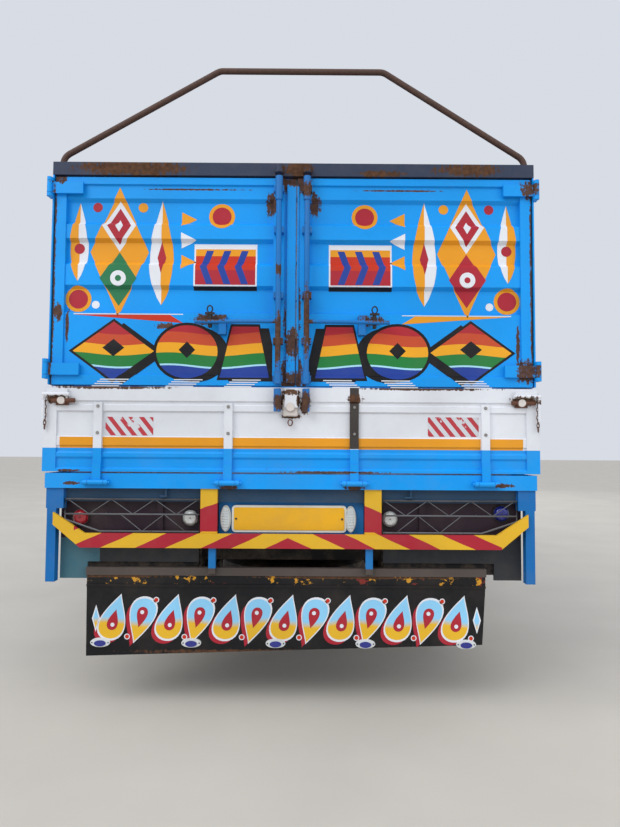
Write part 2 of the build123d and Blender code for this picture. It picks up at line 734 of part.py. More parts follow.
# Brown top rail round the body, and the bent bars that hold the sheet up
rail_wide = 50.0
rail_y0 = y_tail - 2.0
top_parts = [
    block(-half_body, half_body, rail_y0, rail_y0 + rail_wide + 60, rail_bottom, body_top),
    block(-half_body, half_body, body_front - headboard_thick, body_front, rail_bottom, body_top),
    block(-half_body, -half_body + rail_wide, y_tail, body_front, rail_bottom, body_top),
    block(half_body - rail_wide, half_body, y_tail, body_front, rail_bottom, body_top),
]
for side in (-1, 1):
    x = side * rod_x
    top_parts.append(along_z(rail_bottom + 4, rail_bottom + 39, x, y_tail - lock_rod_out,
                             lock_rod_radius + lock_sleeve_wall))
    top_parts.append(block(x - 20, x + 20, y_tail - lock_rod_out, rail_y0 + 1, rail_bottom + 8,
                           rail_bottom + 34))
write("top_rail", fused(top_parts))

bow_foot_x = half_body - rail_wide / 2
bow_flat = (-352.0, 418.0)
bow_bend = 60.0
bow_first = rail_y0 + rail_wide / 2 + 30
bow_last = body_front - headboard_thick / 2
bows = []
for i in range(bow_count):
    y = bow_first + (bow_last - bow_first) * i / (bow_count - 1)
    path = FilletPolyline((-bow_foot_x, y, body_top), (-bow_foot_x, y, body_top + 45),
                          (bow_flat[0], y, body_top + bow_rise), (bow_flat[1], y, body_top + bow_rise),
                          (bow_foot_x, y, body_top + 45), (bow_foot_x, y, body_top),
                          radius=bow_bend)
    section = Plane(origin=path @ 0, z_dir=path % 0) * Circle(bow_radius)
    bows.append(sweep(section, path=path))
write("roof_bows", *bows)


# Drop gates: a pressed panel with ribs, straps down to eyes on the hinge pins
# (z as a share of the gate's height from the bottom, how far the outer face stands back)
gate_steps = (
    (0.000, 0.0), (0.030, 0.0), (0.050, 9.0), (0.150, 9.0), (0.175, 2.0), (0.215, 2.0), (0.240, 9.0),
    (0.295, 9.0), (0.310, 3.0), (0.405, 3.0), (0.420, 9.0), (0.700, 9.0), (0.715, 1.0), (0.780, 1.0),
    (0.795, 7.0), (0.820, 7.0), (0.835, 0.0), (1.000, 0.0),
)


def gate_section():
    """The gate's section as (depth from the outer face, z) points."""
    outer = [(d, gate_bottom + s * gate_height) for s, d in gate_steps]
    inner = [(gate_thick, gate_top), (gate_thick, gate_top - 50), (gate_thick - 14, gate_top - 60),
             (gate_thick - 14, gate_bottom + 60), (gate_thick, gate_bottom + 50), (gate_thick, gate_bottom)]
    return outer + inner


def strap_and_eye(pos, z_top):
    """A strap on a gate at a place along it, as a builder of (along, out, z) boxes: the strap, its tail and
    its eye. Out is 0 on the gate's outer face and grows away from the lorry."""
    half = strap_width / 2
    boxes = [
        (pos - half, pos + half, -9.0, strap_thick, gate_bottom - 2, z_top),
        (pos - half, pos + half, gate_axis_out - eye_radius, gate_axis_out - eye_radius + 9, gate_axis_z,
         gate_bottom + 40),
    ]
    return boxes


tail_beyond_body = 11.0
tail_half = half_body + tail_beyond_body
tailgate_x = (-tail_half - 4.0, tail_half + 4.0)
tail_straps = (-872.0, -285.0, 283.0, 874.0)
strap_top_z = 1349.0
tail_axis_y = y_tail - gate_axis_out


def tailgate_straps():
    parts = []
    for x in tail_straps:
        for a0, a1, out0, out1, z0, z1 in strap_and_eye(x, strap_top_z):
            parts.append(block(a0, a1, y_tail - out1, y_tail - out0, z0, z1))
        parts.append(along_x(x - eye_length / 2, x + eye_length / 2, tail_axis_y, gate_axis_z, eye_radius))
    return parts


def eye_bores_x(places):
    return [along_x(x - eye_length, x + eye_length, tail_axis_y, gate_axis_z, pin_radius + pin_fit)
            for x in places]


tail_panel = side_prism([(y_tail + d, z) for d, z in gate_section()], tailgate_x[0], tailgate_x[1])
end_caps = [block(min(x, x - s * 60), max(x, x - s * 60), y_tail, y_tail + gate_thick, gate_bottom, gate_top)
            for x, s in ((tailgate_x[1], 1), (tailgate_x[0], -1))]
latch_box_half = 30.0
latch_z = (gate_top - 92.0, gate_top - 10.0)
latch_parts = [block(-latch_box_half - 2, latch_box_half - 2, y_tail - 22, y_tail + 9,
                     latch_z[0], latch_z[1])]
keeper_z = (gate_top - 110.0, gate_top - 8.0)
for x in (-rod_x, rod_x):
    latch_parts.append(along_z(keeper_z[0], keeper_z[1], x, y_tail - lock_rod_out,
                               lock_rod_radius + lock_sleeve_wall))
    latch_parts.append(block(x - 12, x + 12, y_tail - lock_rod_out, y_tail + 9,
                             keeper_z[0] + 8, keeper_z[0] + 40))
corner_latches = []
for side in (-1, 1):
    x = side * (tail_half - 60)
    corner_latches.append(block(x - 48, x + 48, y_tail - 16, y_tail + 3, gate_top - 64, gate_top - 12))
    corner_latches.append(along_x(x - 60, x + 60, y_tail - 22, gate_top - 38, 9))
    corner_latches.append(along_z(gate_top - 150, gate_top - 38, side * (tail_half - 4), y_tail - 22, 7))
tail_body = fused([tail_panel] + end_caps + tailgate_straps() + latch_parts + corner_latches)
for bore in eye_bores_x(tail_straps):
    tail_body = tail_body - bore
write("tailgate", tail_body)


# Side gates: the tailgate's section turned to the sides, two a side
side_axis_x = half_body + gate_axis_out
gate_spans = {
    "rear": (y_tail + gate_thick + gap, mid_y - mid_post_width / 2 - door_gap),
    "front": (mid_y + mid_post_width / 2 + door_gap, body_front - headboard_thick - door_gap),
}
side_strap_inset = 260.0


def side_straps(y0, y1):
    """Places of the three straps along one side gate."""
    return (y0 + side_strap_inset, (y0 + y1) / 2, y1 - side_strap_inset)


def side_gate_right(y0, y1):
    panel = end_prism([(half_body - d, z) for d, z in gate_section()], y0, y1)
    parts = [panel]
    for a, b in ((y0, y0 + 60), (y1 - 60, y1)):
        parts.append(block(half_body - gate_thick, half_body, a, b, gate_bottom, gate_top))
        parts.append(block(half_body - 3, half_body + 14, a + 6, b - 6, gate_top - 70, gate_top - 20))
        parts.append(along_z(gate_top - 150, gate_top - 30, half_body + 14, (a + b) / 2, 8))
    for y in side_straps(y0, y1):
        for a0, a1, out0, out1, z0, z1 in strap_and_eye(y, strap_top_z):
            parts.append(block(half_body + out0, half_body + out1, a0, a1, z0, z1))
        parts.append(along_y(y - eye_length / 2, y + eye_length / 2, side_axis_x, gate_axis_z, eye_radius))
    gate = fused(parts)
    for y in side_straps(y0, y1):
        gate = gate - along_y(y - eye_length, y + eye_length, side_axis_x, gate_axis_z, pin_radius + pin_fit)
    return gate


for place, (y0, y1) in gate_spans.items():
    right = side_gate_right(y0, y1)
    write(f"side_gate_right_{place}", right)
    write(f"side_gate_left_{place}", mirrored(right))


def pin_and_lugs(centre, along, wall):
    """The pin of one gate hinge with its two lugs, as solids: along is "x" or "y", wall is how far the lug
    reaches back to the sill."""
    half = eye_length / 2
    parts = []
    for side in (-1, 1):
        a = centre + side * (half + hinge_low_gap)
        b = a + side * lug_length
        lo, hi = min(a, b), max(a, b)
        if along == "x":
            parts.append(block(lo, hi, tail_axis_y, tail_axis_y + wall, gate_axis_z - eye_radius,
                               gate_axis_z + eye_radius))
            parts.append(along_x(lo, hi, tail_axis_y, gate_axis_z, eye_radius))
        else:
            parts.append(block(side_axis_x - wall, side_axis_x, lo, hi, gate_axis_z - eye_radius,
                               gate_axis_z + eye_radius))
            parts.append(along_y(lo, hi, side_axis_x, gate_axis_z, eye_radius))
    reach = half + hinge_low_gap + lug_length + 8
    if along == "x":
        parts.append(along_x(centre - reach, centre + reach, tail_axis_y, gate_axis_z, pin_radius))
    else:
        parts.append(along_y(centre - reach, centre + reach, side_axis_x, gate_axis_z, pin_radius))
    return parts


# Side sills with the side gates' hinge pins
sill_parts = [side_sill]
for y0, y1 in gate_spans.values():
    for y in side_straps(y0, y1):
        sill_parts += pin_and_lugs(y, "y", gate_axis_out + 6)
right_sill = fused(sill_parts)
write("side_sills", right_sill, mirrored(right_sill))


# Rear sill, the beam under it and the legs at its corners
beam_y = (y_tail + 30.0, y_tail + 85.0)
leg_y = (y_tail + 8.0, y_tail + 50.0)
leg_low = 546.0
leg_wide_low = 872.0
leg_x = (half_body - 51.0, half_body - 10.0)
leg_wide_x = (half_body - 83.0, half_body - 5.0)
hook_x = (-563.0, 540.0)
sill_rear = [
    block(-half_body, half_body, y_tail, y_tail + sill_wide, deck_bottom, deck_top),
    block(-half_body + 60, half_body - 60, beam_y[0], beam_y[1], crossmember_bottom, deck_bottom + 1),
]
for x in tail_straps:
    sill_rear += pin_and_lugs(x, "x", gate_axis_out + 6)
for side in (-1, 1):
    x0, x1 = sorted((side * leg_x[0], side * leg_x[1]))
    sill_rear.append(block(x0, x1, leg_y[0], leg_y[1], leg_low, deck_bottom + 1))
    x0, x1 = sorted((side * leg_wide_x[0], side * leg_wide_x[1]))
    sill_rear.append(block(x0, x1, leg_y[0], leg_y[1], leg_wide_low, deck_bottom + 1))
for x in hook_x:
    sill_rear.append(along_z(deck_bottom - 36, deck_bottom + 1, x, y_tail + 14, 5))
    sill_rear.append(along_x(x - 26, x + 5, y_tail + 14, deck_bottom - 36, 5))
write("rear_sill", fused(sill_rear))


# Rear doors: a pressed leaf with stiles, on eyes at the corner posts
door_face = y_tail + 6.0
# (share of the leaf's height from the bottom, how far the outer face stands back)
door_steps = (
    (0.000, 0.0), (0.046, 0.0), (0.051, 9.0), (0.346, 9.0), (0.352, 24.0), (0.462, 24.0), (0.478, 5.0),
    (0.576, 5.0), (0.592, 24.0), (0.688, 24.0), (0.704, 5.0), (0.770, 5.0), (0.786, 24.0), (0.884, 24.0),
    (0.900, 9.0), (0.962, 9.0), (0.967, 0.0), (1.000, 0.0),
)
door_sheet = 10.0
stile = 50.0
meeting_gap = 8.0
door_outer_x = half_body - door_side_gap


def door_leaf(x0, x1):
    """A leaf between two x places, with a stile at each side and rails at its bottom and top."""
    outer = [(door_face + d, door_bottom + s * door_height) for s, d in door_steps]
    inner = [(y + door_sheet, z) for y, z in reversed(outer)]
    sheet = side_prism(outer + inner, x0 + 5, x1 - 5)
    back = door_face + door_thick
    parts = [sheet,
             block(x0, x0 + stile, door_face, back, door_bottom, door_top),
             block(x1 - stile, x1, door_face, back, door_bottom, door_top),
             block(x0, x1, door_face + 2, back, door_bottom, door_bottom + 44),
             block(x0, x1, door_face + 2, back, door_top - 32, door_top)]
    return parts


def door_hinges(side):
    """The leaf's hinge plates and eyes at one side of the lorry."""
    parts = []
    for z in hinge_z:
        z0 = z - hinge_eye_height / 2
        z1 = z + hinge_eye_height / 2
        x0, x1 = sorted((side * door_axis_x, side * (door_outer_x - hinge_plate_reach)))
        parts.append(block(x0, x1, y_tail - 10, y_tail - 4, z0, z1))
        x0, x1 = sorted((side * (door_outer_x - 4), side * (door_outer_x - hinge_plate_reach)))
        parts.append(block(x0, x1, y_tail - 6, door_face + 2, z0, z1))
        parts.append(along_z(z0, z1, side * door_axis_x, door_axis_y, door_eye_radius))
    return parts


def door_bores(side):
    return [along_z(z - hinge_eye_height, z + hinge_eye_height, side * door_axis_x, door_axis_y,
                    pin_radius + hinge_fit) for z in hinge_z]


left_leaf = door_leaf(-door_outer_x, -meeting_gap / 2 - 36) + door_hinges(-1)
left_leaf.append(block(-meeting_gap / 2 - 37, -meeting_gap / 2 + 16, door_face + 8, door_face + 30,
                       door_bottom, door_top))
right_leaf = door_leaf(-meeting_gap / 2 + 16 + meeting_gap, door_outer_x) + door_hinges(1)
left_door = fused(left_leaf)
for bore in door_bores(-1):
    left_door = left_door - bore
right_door = fused(right_leaf)
for bore in door_bores(1):
    right_door = right_door - bore
write("rear_door_left", left_door)
write("rear_door_right", right_door)


# Lock rods on the doors, with handles and keepers
rod_y = y_tail - lock_rod_out
sleeve_radius = lock_rod_radius + lock_sleeve_wall
handle_z = 1718.0
handle_reach = 375.0
handle_keeper = 250.0
for side, name in ((-1, "left"), (1, "right")):
    x = side * rod_x
    parts = [
        along_z(door_bottom + 4, door_top - 4, x, rod_y, lock_rod_radius),
        along_z(door_top - 115, door_top - 6, x, rod_y, sleeve_radius),
        along_z(door_bottom + 6, door_bottom + 60, x, rod_y, sleeve_radius),
    ]
    for z in (door_bottom + 30, door_bottom + 200, handle_z + 120, handle_z + 420, door_top - 60):
        parts.append(block(x - 22, x + 22, rod_y, door_face, z - 14, z + 14))
    end = x + side * handle_reach
    parts.append(rod((x, rod_y + 4, handle_z), (end, rod_y + 2, handle_z - 4), 9))
    keeper = x + side * handle_keeper
    parts.append(block(keeper - 16, keeper + 16, rod_y, door_face + 9, handle_z - 60, handle_z + 28))
    write(f"lock_rods_{name}", fused(parts))


# Rear bumper bar with its uprights, the plate's panel and the lamp guards
bar_z = (700.0, 764.0)
bar_flat = half_body - 165.0
bar_end = (half_body - 43.0, 826.0)
bar_y = (y_tail - 8.0, y_tail + 8.0)
upright_x = (331.0, 407.0)
upright_y = (y_tail + 8.0, y_tail + 30.0)
bar_points = [
    (-bar_flat, bar_z[0]), (bar_flat, bar_z[0]), (bar_end[0], bar_end[1] - 25), (bar_end[0], bar_end[1] + 30),
    (bar_flat - 20, bar_z[1]), (-bar_flat + 20, bar_z[1]), (-bar_end[0], bar_end[1] + 30),
    (-bar_end[0], bar_end[1] - 25),
]
flap_x = (-917.0, 878.0)
flap_taper = (4.0, 16.0)
flap_rail_z = (572.0, 607.0)
flap_rail_y = (y_tail + 30.0, y_tail + 60.0)
bumper_parts = [end_prism(bar_points, bar_y[0], bar_y[1])]
for side in (-1, 1):
    x0, x1 = sorted((side * upright_x[0], side * upright_x[1]))
    bumper_parts.append(block(x0, x1, upright_y[0], upright_y[1], bar_z[0] + 4, deck_bottom))
    x_mid = side * 352.0
    bumper_parts.append(block(x_mid - 16, x_mid + 16, upright_y[0], upright_y[1], flap_rail_z[0] + 12,
                              bar_z[0] + 5))
bumper_parts.append(block(flap_x[0] - 4, flap_x[1] + 4, flap_rail_y[0], flap_rail_y[1], *flap_rail_z))
write("rear_bumper", fused(bumper_parts))

guard_y = y_tail + 20.0
guard_z = (769.0, 846.0, 913.0)
guard_bar = 6.0
guard_wire = 4.5
guard_pitch = 72.0
guard_x = (upright_x[1], leg_wide_x[0])
guard_low_x = half_body - 245.0


def guard_right():
    """Bars and zigzag wires between the bumper's upright and the corner leg."""
    parts = [block(guard_x[0], guard_x[0] + 10, guard_y - 8, guard_y + 10, guard_z[0] - 10, guard_z[2] + 10),
             block(guard_x[1] - 10, guard_x[1], guard_y - 8, guard_y + 10, guard_z[1] - 30, guard_z[2] + 10)]
    ends = (guard_low_x, guard_x[1] - 4, guard_x[1] - 4)
    for z, end in zip(guard_z, ends):
        parts.append(along_x(guard_x[0] + 4, end, guard_y, z, guard_bar))
    parts.append(rod((guard_low_x - 8, guard_y, guard_z[0]), (guard_x[1] - 5, guard_y, guard_z[1] - 24),
                     guard_bar))
    for row in (0, 1):
        z_low, z_high = guard_z[row], guard_z[row + 1]
        x = guard_x[0] + 12
        step = 0
        while x + guard_pitch / 2 < (ends[row] - 10):
            a, b = (z_low, z_high) if step % 2 == 0 else (z_high, z_low)
            parts.append(rod((x, guard_y, a), (x + guard_pitch / 2, guard_y, b), guard_wire))
            x += guard_pitch / 2
            step += 1
    return fused(parts)


guard = guard_right()
write("lamp_guards", guard, mirrored(guard))

board_y = (y_tail + 62.0, y_tail + 74.0)
board_z = 627.0
board_in = 420.0
apron_in = half_body - 180.0
apron_z = 552.0
board_out = half_body - 55.0
stanchion_x = 597.0


def lamp_board():
    """Right lamp board: a plate that reaches lower at its outer end, with a stanchion on its face."""
    plate = end_prism([(board_in, board_z), (apron_in, board_z), (apron_in, apron_z), (board_out, apron_z),
                       (board_out, crossmember_bottom), (board_in, crossmember_bottom)], board_y[0], board_y[1])
    stanchion = block(stanchion_x - 14, stanchion_x + 14, board_y[0] - 12, board_y[0] + 1, board_z + 60,
                      crossmember_bottom)
    return fused([plate, stanchion])


board = lamp_board()
plate_panel = block(-upright_x[0], upright_x[0], board_y[0], board_y[0] + 8,
                    bar_z[0] - 10, crossmember_bottom)
write("lamp_boards", board, mirrored(board), plate_panel)

lamp_z = 828.0
round_lamp_radius = 38.0
outer_lamp_in = 148.0
outer_lamp_rise = 27.0
round_lamps = ((outer_lamp_in - half_body, lamp_z), (-458.0, lamp_z), (449.0, lamp_z),
               (half_body - outer_lamp_in, lamp_z + outer_lamp_rise))
oval_lamp_x = (-849.0, -442.0, -65.0, 337.0, 788.0)
oval_lamp_z = 275.0
oval_lamp = (44.0, 20.0)
flap_y = (y_tail + 34.0, y_tail + 42.0)
lamps = []
for x, z in round_lamps:
    lamp = along_y(board_y[0] - 24, board_y[0], x, z, round_lamp_radius)
    lamps.append(fillet(lamp.edges().sort_by(Axis.Y)[0], 8))
for x in oval_lamp_x:
    oval = Plane.XZ * Ellipse(oval_lamp[0], oval_lamp[1])
    lamps.append(Pos(x, flap_y[0] - 12, oval_lamp_z) * extrude(oval, amount=12, dir=(0, 1, 0)))
write("rear_lamps", *lamps)

flap_low = (214.0, 272.0)
flap_step = 530.0
flap_board = fused([
    end_prism([(flap_x[0] + flap_taper[0], flap_low[0]), (flap_x[1] - flap_taper[1], flap_low[1]),
               (flap_x[1], flap_step), (flap_x[0], flap_step)], flap_y[0], flap_y[1]),
    block(flap_x[0], flap_x[1], flap_rail_y[0] - 2, flap_y[1], flap_step - 8, flap_step + 2),
    block(flap_x[0], flap_x[1], flap_y[0], flap_y[1], flap_step, flap_rail_z[0]),
])
write("mud_flap_board", flap_board)


# Mudguards over the twin wheels
guard_outer = 458.0
guard_sheet = 5.0
mud_x = (inner_tyre_face - 4, rear_track / 2 + twin_spacing / 2 + tyre_width / 2 + 7.5)
mud_low = tyre_radius + 150.0
mud_ring = ring(mud_x[0], mud_x[1], guard_outer, guard_outer - guard_sheet)
mud_ring = Pos(0, y_rear_axle, tyre_radius) * mud_ring
mud_cut = block(mud_x[0] - 5, mud_x[1] + 5, y_rear_axle - 500, y_rear_axle + 500, -100, mud_low)
mud_ring = mud_ring - mud_cut
mud_parts = [mud_ring]
for y in (y_rear_axle - 120, y_rear_axle + 120):
    top = tyre_radius + math.sqrt(guard_outer ** 2 - 120 ** 2)
    mud_parts.append(block(rail_x, mud_x[1] - 60, y - 14, y + 14, top - 4, top + 14))
mudguard = fused(mud_parts)
write("rear_mudguards", mudguard, mirrored(mudguard))


# Cab shell: a hollow body with windows, door openings, wheel arches, steps and an engine tunnel
cab_half = cab_width / 2
cab_low = 885.0
panel_low = 800.0
screen_low = 1480.0
screen_high = 2130.0
screen_back = 250.0
roof_edge_back = 340.0
side_round = 55.0
cab_outer = [
    (cab_front, panel_low), (cab_front, screen_low - 40), (cab_front - screen_back, screen_high + 40),
    (cab_front - roof_edge_back, cab_roof - 25), (cab_front - roof_edge_back - 160, cab_roof),
    (cab_back + 120, cab_roof), (cab_back, cab_roof - 80), (cab_back, cab_low), (cab_front - cab_wall, cab_low),
    (cab_front - cab_wall, panel_low),
]
cab_inner = [
    (cab_front - cab_wall, cab_floor), (cab_front - cab_wall, screen_low - 46),
    (cab_front - screen_back - cab_wall, screen_high + 34),
    (cab_front - roof_edge_back - 20, cab_roof - cab_wall - 25),
    (cab_front - roof_edge_back - 170, cab_roof - cab_wall), (cab_back + 130, cab_roof - cab_wall),
    (cab_back + cab_wall, cab_roof - 100), (cab_back + cab_wall, cab_floor),
]
cab_door = {"rear": y_front_axle - 150.0, "front": cab_front - 190.0, "low": cab_floor + 8.0, "high": 2185.0,
            "front_high": cab_front - 415.0, "waist": cab_waist}
door_clear = 6.0
cab_door_outline = [
    (cab_door["rear"], cab_door["low"]), (cab_door["front"], cab_door["low"]),
    (cab_door["front"], cab_door["waist"]), (cab_door["front_high"], cab_door["high"]),
    (cab_door["rear"], cab_door["high"]),
]
window_low = cab_door["waist"] + 35.0
window_outline = [
    (cab_door["rear"] + 70, window_low), (cab_door["front"] - 85, window_low),
    (cab_door["front_high"] - 50, cab_door["high"] - 65), (cab_door["rear"] + 70, cab_door["high"] - 65),
]
tunnel_half = 320.0
tunnel_wall = 20.0
tunnel_high = 1080.0
tunnel_front = engine_front + 70.0
screen_half = 890.0
rear_window = (620.0, 1580.0, 2060.0)


def side_outline(points, grow, x0, x1):
    """A side-view outline grown all round by a margin, pushed from x0 to x1."""
    face = make_face(Plane.YZ * Polyline(*points, close=True))
    if grow:
        face = offset(face, amount=grow, kind=Kind.INTERSECTION)
    return Pos(x0, 0, 0) * extrude(face, amount=x1 - x0, dir=(1, 0, 0))


def screen_y(z):
    """Where the outer surface of the sloping front stands at a height."""
    low = screen_low - 40
    share = (z - low) / (screen_high + 40 - low)
    return cab_front - screen_back * share


shell = side_prism(cab_outer, -cab_half, cab_half)
roof_edges = shell.edges().filter_by(lambda e: abs(abs(e.center().X) - cab_half) < 1 and e.center().Z > 2100
                                     and cab_back + 1 < e.center().Y < cab_front - 300)
shell = fillet(roof_edges, side_round)
shell = shell - side_prism(cab_inner, -cab_half + cab_wall, cab_half - cab_wall)

step_x = (cab_half - 170.0, cab_half)
step_y1 = cab_front - 250.0
step_low = 520.0
skirt_x0 = cab_half - 28.0


def lower_side():
    """Right step box ahead of the arch and skirt behind it, cut by the round arch."""
    step = block(step_x[0], step_x[1], y_front_axle + 200, step_y1, step_low, cab_low)
    recess = block(step_x[0] + 20, step_x[1] + 1, y_front_axle + 520, step_y1 - 50, step_low + 25,
                   step_low + 190)
    upper_recess = block(step_x[0] + 20, step_x[1] + 1, y_front_axle + 520, step_y1 - 50, step_low + 215,
                         cab_low - 40)
    rear = block(skirt_x0, cab_half, cab_back, y_front_axle - 200, cab_skirt, cab_low)
    arch = along_x(step_x[0] - 5, step_x[1] + 5, y_front_axle, tyre_radius, arch_radius)
    lip = ring(cab_half - 30, cab_half - 2, arch_radius + 14, arch_radius)
    lip = Pos(0, y_front_axle, tyre_radius) * lip
    lip = lip - block(0, cab_width, y_front_axle - 600, y_front_axle + 600, -200, cab_skirt)
    lip = lip - block(0, cab_width, y_front_axle - 600, y_front_axle + 600, cab_low, cab_low + 60)
    return fused([(step - recess - upper_recess) - arch, rear - arch, lip])


tunnel = block(-tunnel_half, tunnel_half, cab_back + 1, tunnel_front, cab_low, tunnel_high)
tunnel_hollow = block(-tunnel_half + tunnel_wall, tunnel_half - tunnel_wall, cab_back - 5,
                      tunnel_front - tunnel_wall, cab_low - 1, tunnel_high - tunnel_wall)
lug_x = (tilt_bracket_x + tilt_bracket_thick + 6.0, tilt_bracket_x + tilt_bracket_thick + 36.0)
shell_parts = [shell, tunnel, lower_side(), mirrored(lower_side())]
for side in (-1, 1):
    x0, x1 = sorted((side * lug_x[0], side * lug_x[1]))
    shell_parts.append(block(x0, x1, tilt_y - 28, tilt_y + 28, tilt_z - 28, cab_low + 2))
shell = fused(shell_parts) - tunnel_hollow
shell = shell - along_x(-cab_half, cab_half, tilt_y, tilt_z, tilt_pin_radius + pin_fit)
for side in (-1, 1):
    x0, x1 = sorted((side * (cab_half - cab_wall - 5), side * (cab_half + 5)))
    shell = shell - side_outline(cab_door_outline, door_clear, x0, x1)
shell = shell - side_prism([(cab_front - 330, screen_low), (cab_front + 5, screen_low),
                            (cab_front + 5, screen_high),
                            (cab_front - 360, screen_high)], -screen_half, screen_half)
shell = shell - block(-rear_window[0], rear_window[0], cab_back - 5, cab_back + cab_wall + 5, rear_window[1],
                      rear_window[2])

# Cab door hinges at the front edge
cab_hinge_x = cab_half + 4.0
cab_hinge_y = cab_door["front"] + door_clear / 2
cab_hinge_z = (cab_floor + 130.0, cab_door["waist"] - 110.0)
cab_eye_radius = 9.0
cab_pin_radius = 5.0
cab_eye_half = 24.0
hinge_notch = 4.0
cab_lugs = []
cab_notches = []
for z in cab_hinge_z:
    cab_notches.append(block(cab_hinge_x - cab_eye_radius - hinge_notch, cab_half + 1, cab_hinge_y - 5,
                             cab_hinge_y + cab_eye_radius + hinge_notch, z - cab_eye_half - hinge_low_gap,
                             z + cab_eye_half + hinge_low_gap))
    for side in (-1, 1):
        z0 = z + side * (cab_eye_half + hinge_low_gap)
        z1 = z0 + side * 14
        cab_lugs.append(along_z(min(z0, z1), max(z0, z1), cab_hinge_x, cab_hinge_y, cab_eye_radius))
        cab_lugs.append(block(cab_half - 20, cab_hinge_x, cab_hinge_y, cab_hinge_y + 20, min(z0, z1),
                              max(z0, z1)))
    cab_lugs.append(along_z(z - cab_eye_half - 8, z + cab_eye_half + 8, cab_hinge_x, cab_hinge_y,
                            cab_pin_radius))
for notch in cab_notches:
    shell = shell - notch - mirrored(notch)
shell = fused([shell] + cab_lugs + [mirrored(lug) for lug in cab_lugs])
write("cab_shell", shell)


# Cab doors and their glass
def cab_door_right():
    """Right door with its window opening, hinge eyes and handle recess."""
    x0 = cab_half - cab_wall
    leaf_body = side_outline(cab_door_outline, 0, x0, cab_half)
    hollow = side_outline(window_outline, 0, x0 - 5, cab_half + 5)
    handle = block(cab_half - 12, cab_half + 1, cab_door["rear"] + 60, cab_door["rear"] + 230,
                   cab_door["waist"] - 130, cab_door["waist"] - 75)
    leaf_body = leaf_body - hollow - handle
    grip = block(cab_half - 13, cab_half - 2, cab_door["rear"] + 75, cab_door["rear"] + 215,
                 cab_door["waist"] - 118, cab_door["waist"] - 92)
    parts = [leaf_body, grip]
    for z in cab_hinge_z:
        parts.append(along_z(z - cab_eye_half, z + cab_eye_half, cab_hinge_x, cab_hinge_y, cab_eye_radius))
        parts.append(block(cab_half - 6, cab_hinge_x + 3, cab_hinge_y - 30, cab_hinge_y, z - cab_eye_half,
                           z + cab_eye_half))
    body = fused(parts)
    notch = cab_eye_radius + hinge_notch
    for z in cab_hinge_z:
        body = body - along_z(z - 40, z + 40, cab_hinge_x, cab_hinge_y, cab_pin_radius + pin_fit)
        for side in (-1, 1):
            z0, z1 = sorted((z + side * cab_eye_half, z + side * (cab_eye_half + 20)))
            body = body - block(cab_hinge_x - notch, cab_half + 1, cab_hinge_y - notch, cab_hinge_y, z0, z1)
    return body


cab_leaf = cab_door_right()
write("cab_door_right", cab_leaf)
write("cab_door_left", mirrored(cab_leaf))
glass_thick = 6.0
glass_in = 16.0
door_glass = side_outline(window_outline, 0, cab_half - glass_in - glass_thick, cab_half - glass_in)
write("door_glass_right", door_glass)
write("door_glass_left", mirrored(door_glass))
screen_glass = side_prism([(screen_y(screen_low) - glass_in, screen_low),
                           (screen_y(screen_high) - glass_in, screen_high),
                           (screen_y(screen_high) - glass_in - glass_thick, screen_high),
                           (screen_y(screen_low) - glass_in - glass_thick, screen_low)],
                          -screen_half, screen_half)
back_glass = block(-rear_window[0], rear_window[0], cab_back + glass_in, cab_back + glass_in + glass_thick,
                   rear_window[1], rear_window[2])
write("cab_glass", screen_glass, back_glass)


# Grille, mirrors, seats, dashboard and steering wheel
grille_z = (1010.0, 1300.0)
grille_half = 680.0
grille_parts = [block(-grille_half, grille_half, cab_front, cab_front + 8, grille_z[0], grille_z[1])]
slat_count = 5
for i in range(slat_count):
    z = grille_z[0] + 22 + (grille_z[1] - grille_z[0] - 44) * i / (slat_count - 1)
    grille_parts.append(block(-grille_half + 15, grille_half - 15, cab_front + 7, cab_front + 22,
                              z - 14, z + 14))
for side in (-1, 1):
    x0, x1 = sorted((side * grille_half, side * (grille_half - 22)))
    grille_parts.append(block(x0, x1, cab_front + 7, cab_front + 22, grille_z[0], grille_z[1]))
write("grille", fused(grille_parts))

mirror_x = (cab_half + 60.0, cab_half + 235.0)
mirror_y = cab_front - 60.0
mirror_z = (1530.0, 1900.0)
mirror_x_mid = (mirror_x[0] + mirror_x[1]) / 2
mirror_head = fillet(block(mirror_x[0], mirror_x[1], mirror_y - 30, mirror_y + 30, *mirror_z)
                     .edges().filter_by(Axis.Y), 35)
mirror_stay_z = (1440.0, 1960.0)
mirror_parts = [mirror_head]
for z in mirror_stay_z:
    mirror_parts.append(block(cab_half, cab_half + 8, mirror_y - 80, mirror_y - 30, z - 18, z + 18))
    mirror_parts.append(rod((cab_half + 5, mirror_y - 55, z), (mirror_x_mid, mirror_y, z), 11))
mirror_parts.append(along_z(mirror_stay_z[0] - 8, mirror_stay_z[1] + 8, mirror_x_mid, mirror_y, 11))
write("mirrors", fused(mirror_parts), mirrored(fused(mirror_parts)))

seat_front = cab_front - 720.0
seat_back = cab_back + 150.0
seat_low = 1180.0
seat_high = 1320.0
back_high = 1960.0
seat_out = cab_half - 120.0
seat_base_out = seat_out - 20.0
# (x from, x to, base x from, base x to)
seat_table = ((-seat_out, -380.0, -seat_base_out, -400.0), (-330.0, seat_out, 400.0, seat_base_out))
seats = []
for x0, x1, base0, base1 in seat_table:
    cushion = fillet(block(x0, x1, seat_back + 60, seat_front, seat_low, seat_high).edges(), 32)
    back = side_prism([(seat_back + 70, seat_high - 60), (seat_back + 200, seat_high - 60),
                       (seat_back + 110, back_high), (seat_back + 10, back_high)], x0 + 10, x1 - 10)
    back = fillet(back.edges(), 26)
    base = block(base0, base1, seat_back + 100, seat_front - 60, cab_floor, seat_low + 20)
    seats.append(fused([cushion, back, base]))
write("cab_seats", *seats)

